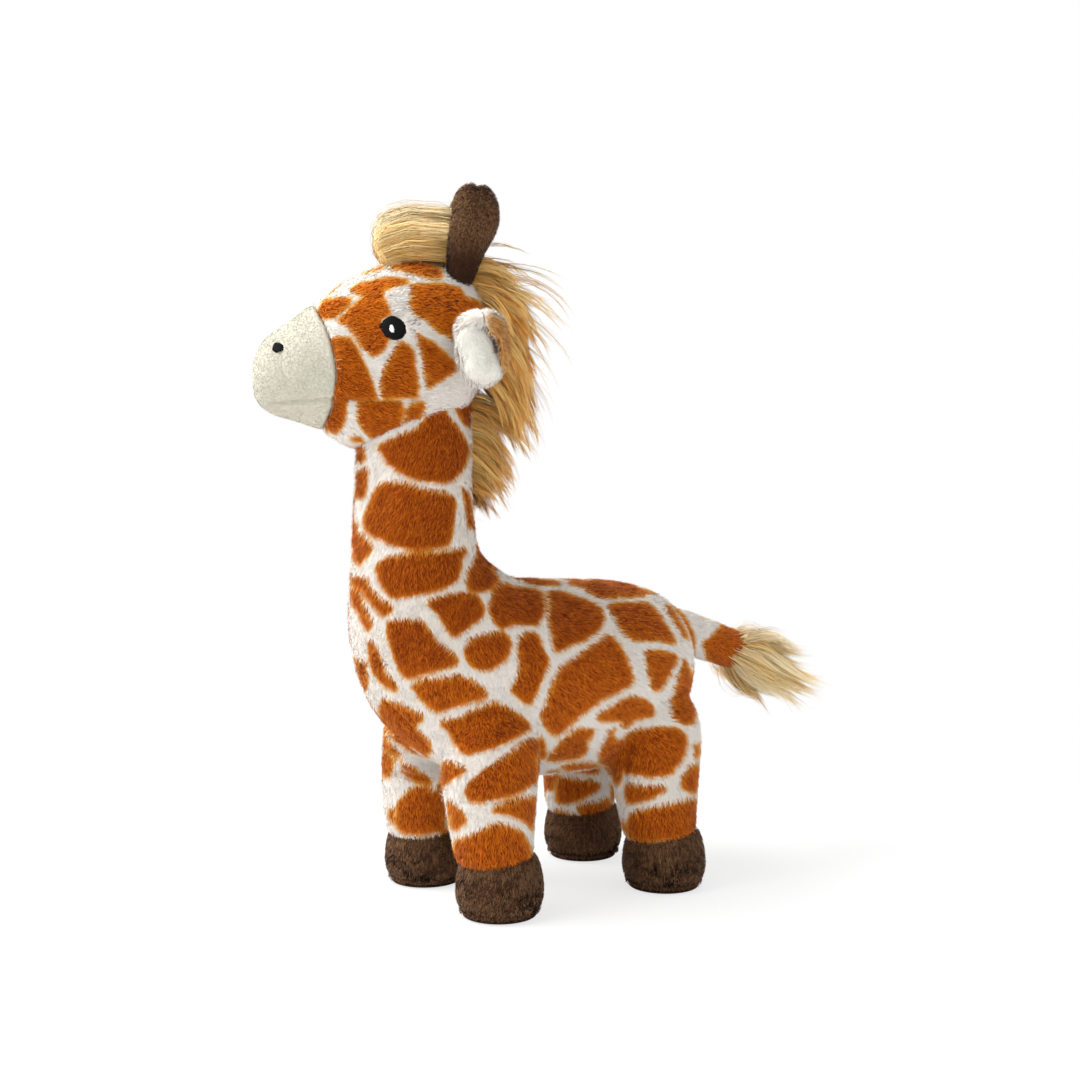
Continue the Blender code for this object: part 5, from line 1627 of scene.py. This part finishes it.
guides, outward = falling_locks(crown_spots(sideways, np.radians(slopes)), sideways, rng,
                                long=rng.uniform(36, 52, locks), rise=by_slope(-30, -8, 22, 68),
                                fall=by_slope(-78, -72, -56, -36))
wisps = hair("mane_wisps", *in_locks(turned_by(HEAD, guides), outward @ HEAD_AXES.T, (1, 1.5, 2, 2.6, 3.2),
                                     18, rng, wisps=3, fine=(.8, .8, .7, .5, .3)),
             gold_hair, "golden_hair", rng, width=0.17)
ride_head(wisps)

locks = 95
share = rng.random(locks)
sideways = rng.uniform(-1, 1, locks) * 10
spots = np.stack((sideways, NECK_Y + np.sqrt(NAPE_RADIUS ** 2 - sideways ** 2),
                  np.interp(share, (0, 1), (216, 176))), 1)
guides, outward = falling_locks(
    spots, sideways, rng, long=np.interp(share, (0, 1), (43, 22)),
    rise=np.interp(share, (0, 1), (6, -28)), fall=np.interp(share, (0, 1), (-76, -74)))
mane = hair("mane_hair_neck", *in_locks(guides, outward, LOCK_RADII, MANE_STRANDS, rng),
            gold_hair, "golden_hair", rng, steps=6, pale=-.25)
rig.replaces(bend_neck(mane), "mane_neck")

# Forelock: a roll of hair brushed forward between the horns and tucked under
count = 7800
turn = rng.uniform(-2.35, 2.35, count)
depth = rng.uniform(0.3, 1.0, count) ** 0.4
x = np.sin(turn) * ROLL_WIDE * depth
start = np.arcsin(np.clip(np.cos(turn) * 0.999, -1, 1))
height = ROLL_Z + np.cos(turn) * ROLL_HIGH * depth
slant = (1 - np.cos(turn)) * ROLL_SLANT
line = [np.stack((x * across, np.full(count, y), height - drop + slant * lean), 1)
        for across, y, drop, lean in ((.45, 23.0, 8.0, .2), (.50, 17.0, 2.0, .1), (.88, 9.5, 0.8, .0))]
for step in range(6):
    bend = start + (radians(-85) - start) * step / 5
    line.append(np.stack((x * (1 - .05 * step),
                          ROLL_Y - np.cos(bend) * ROLL_LONG * depth * np.minimum(step, 1)
                          - 2.5 * (step > 0), ROLL_Z + np.sin(bend) * ROLL_HIGH * depth
                          - slant * min(step / 3, 1) * (1 - step / 5)), 1))
controls = np.stack(line, axis=1)
controls += rng.normal(0, .55, (count, 1, 3)) + rng.normal(0, .45, controls.shape)
controls += waves(controls.reshape(-1, 3), 9, 17).reshape(controls.shape) * .6
loose = rng.random(count) < .035
controls[loose] += (rng.normal(0, 1.3, (loose.sum(), 1, 3)) + rng.normal(0, .8, controls[loose].shape)
                    + np.stack((np.sin(turn[loose]), 0 * turn[loose],
                                np.cos(turn[loose])), 1)[:, None] * 1.3)
outward = np.stack((np.sin(turn), np.zeros(count), np.cos(turn) + .3), 1) @ HEAD_AXES.T
# Painted light: strands on top of the roll are paler than those at its sides and underneath, beside a random tone.
tones = np.clip(.45 + .45 * np.cos(turn) + rng.normal(0, .22, count), 0, 1)
forelock = hair("forelock_hair", turned_by(HEAD, controls), outward, tones, rng.uniform(.85, 1, count),
                gold_hair, "golden_hair", rng, steps=10, width=.20, pale=.16)
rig.replaces(ride_head(forelock), "forelock")

# ---------------------------------------------------------------- camera, floor and light

def make_view():
    camera = bpy.data.cameras.new("photo_view")
    camera.sensor_width = 36
    camera.lens = FOCUS * camera.sensor_width / PHOTO_SIDE
    camera.shift_x = (PHOTO_SIDE / 2 - CENTRE[0]) / PHOTO_SIDE
    camera.shift_y = (CENTRE[1] - PHOTO_SIDE / 2) / PHOTO_SIDE
    camera.clip_start = 0.01
    holder = bpy.data.objects.new("photo_view", camera)
    holder.location = TOY @ EYE
    holder.rotation_euler = AHEAD.to_track_quat("-Z", "Y").to_euler()
    bpy.context.scene.collection.objects.link(holder)
    bpy.context.scene.camera = holder


def seen_directly(wired):
    """1 for what the camera sees itself, in a reflection or through something."""
    paths = wired.add("LightPath").outputs
    total = paths["Is Camera Ray"]
    for name in ("Is Glossy Ray", "Is Transmission Ray"):
        total = wired.maths("MAXIMUM", total, paths[name])
    return total


FLOOR_HALF = 6
FLOOR_GREY = (0.86, 0.86, 0.86, 1)
FLOOR_GLOW = 0.72                     # how white the floor is seen under the toy
GLOW_FROM, GLOW_TO = 0.12, 0.45       # metres from the toy where it turns to full white


def make_floor():
    bm = bmesh.new()
    bmesh.ops.create_grid(bm, x_segments=2, y_segments=2, size=FLOOR_HALF)
    mesh = bpy.data.meshes.new("floor")
    bm.to_mesh(mesh)
    bm.free()
    floor = bpy.data.objects.new("floor", mesh)
    bpy.context.scene.collection.objects.link(floor)
    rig.stage(floor)
    wired = new_finish("pale_floor", 0.9, Base_Color=FLOOR_GREY)
    place = wired.add("TexCoord").outputs["Object"]
    length = wired.add("VectorMath", {"operation": "LENGTH"}, links={0: place})
    spread = wired.add("MapRange", links={"Value": length.outputs["Value"]}, values={
        "From Min": GLOW_FROM, "From Max": GLOW_TO, "To Min": FLOOR_GLOW, "To Max": 1.0})
    seen = wired.maths("MULTIPLY", spread.outputs["Result"], seen_directly(wired))
    wired.mix(seen, wired.add("Emission"), "Material Output")
    mesh.materials.append(wired.finish)


WHITE = (1, 1, 1, 1)
ROOM_LIGHT = 0.80
KEY_WATTS = 50.0
KEY_SIDE = 1.3
KEY_PLACE = (-0.42, -1.05, 1.50)


def make_light():
    world = bpy.data.worlds.new("room")
    bpy.context.scene.world = world
    wired = Nodes(world, Color=WHITE, Strength=ROOM_LIGHT)
    white = wired.add("Background", values={"Color": WHITE})
    wired.mix(seen_directly(wired), white, "World Output")
    lamp = bpy.data.lights.new("soft_box", "AREA")
    lamp.energy = KEY_WATTS
    lamp.size = KEY_SIDE
    holder = bpy.data.objects.new("soft_box", lamp)
    holder.location = KEY_PLACE
    target = TOY @ Vector((0, 0, AIM_HEIGHT))
    holder.rotation_euler = (target - holder.location).to_track_quat("-Z", "Y").to_euler()
    bpy.context.scene.collection.objects.link(holder)


make_view()
make_floor()
make_light()
bpy.context.scene.view_settings.view_transform = "Standard"

with open(SIZE_FILE, "w") as file:
    json.dump([cad_box, [list(corner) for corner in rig.bounds()]], file)
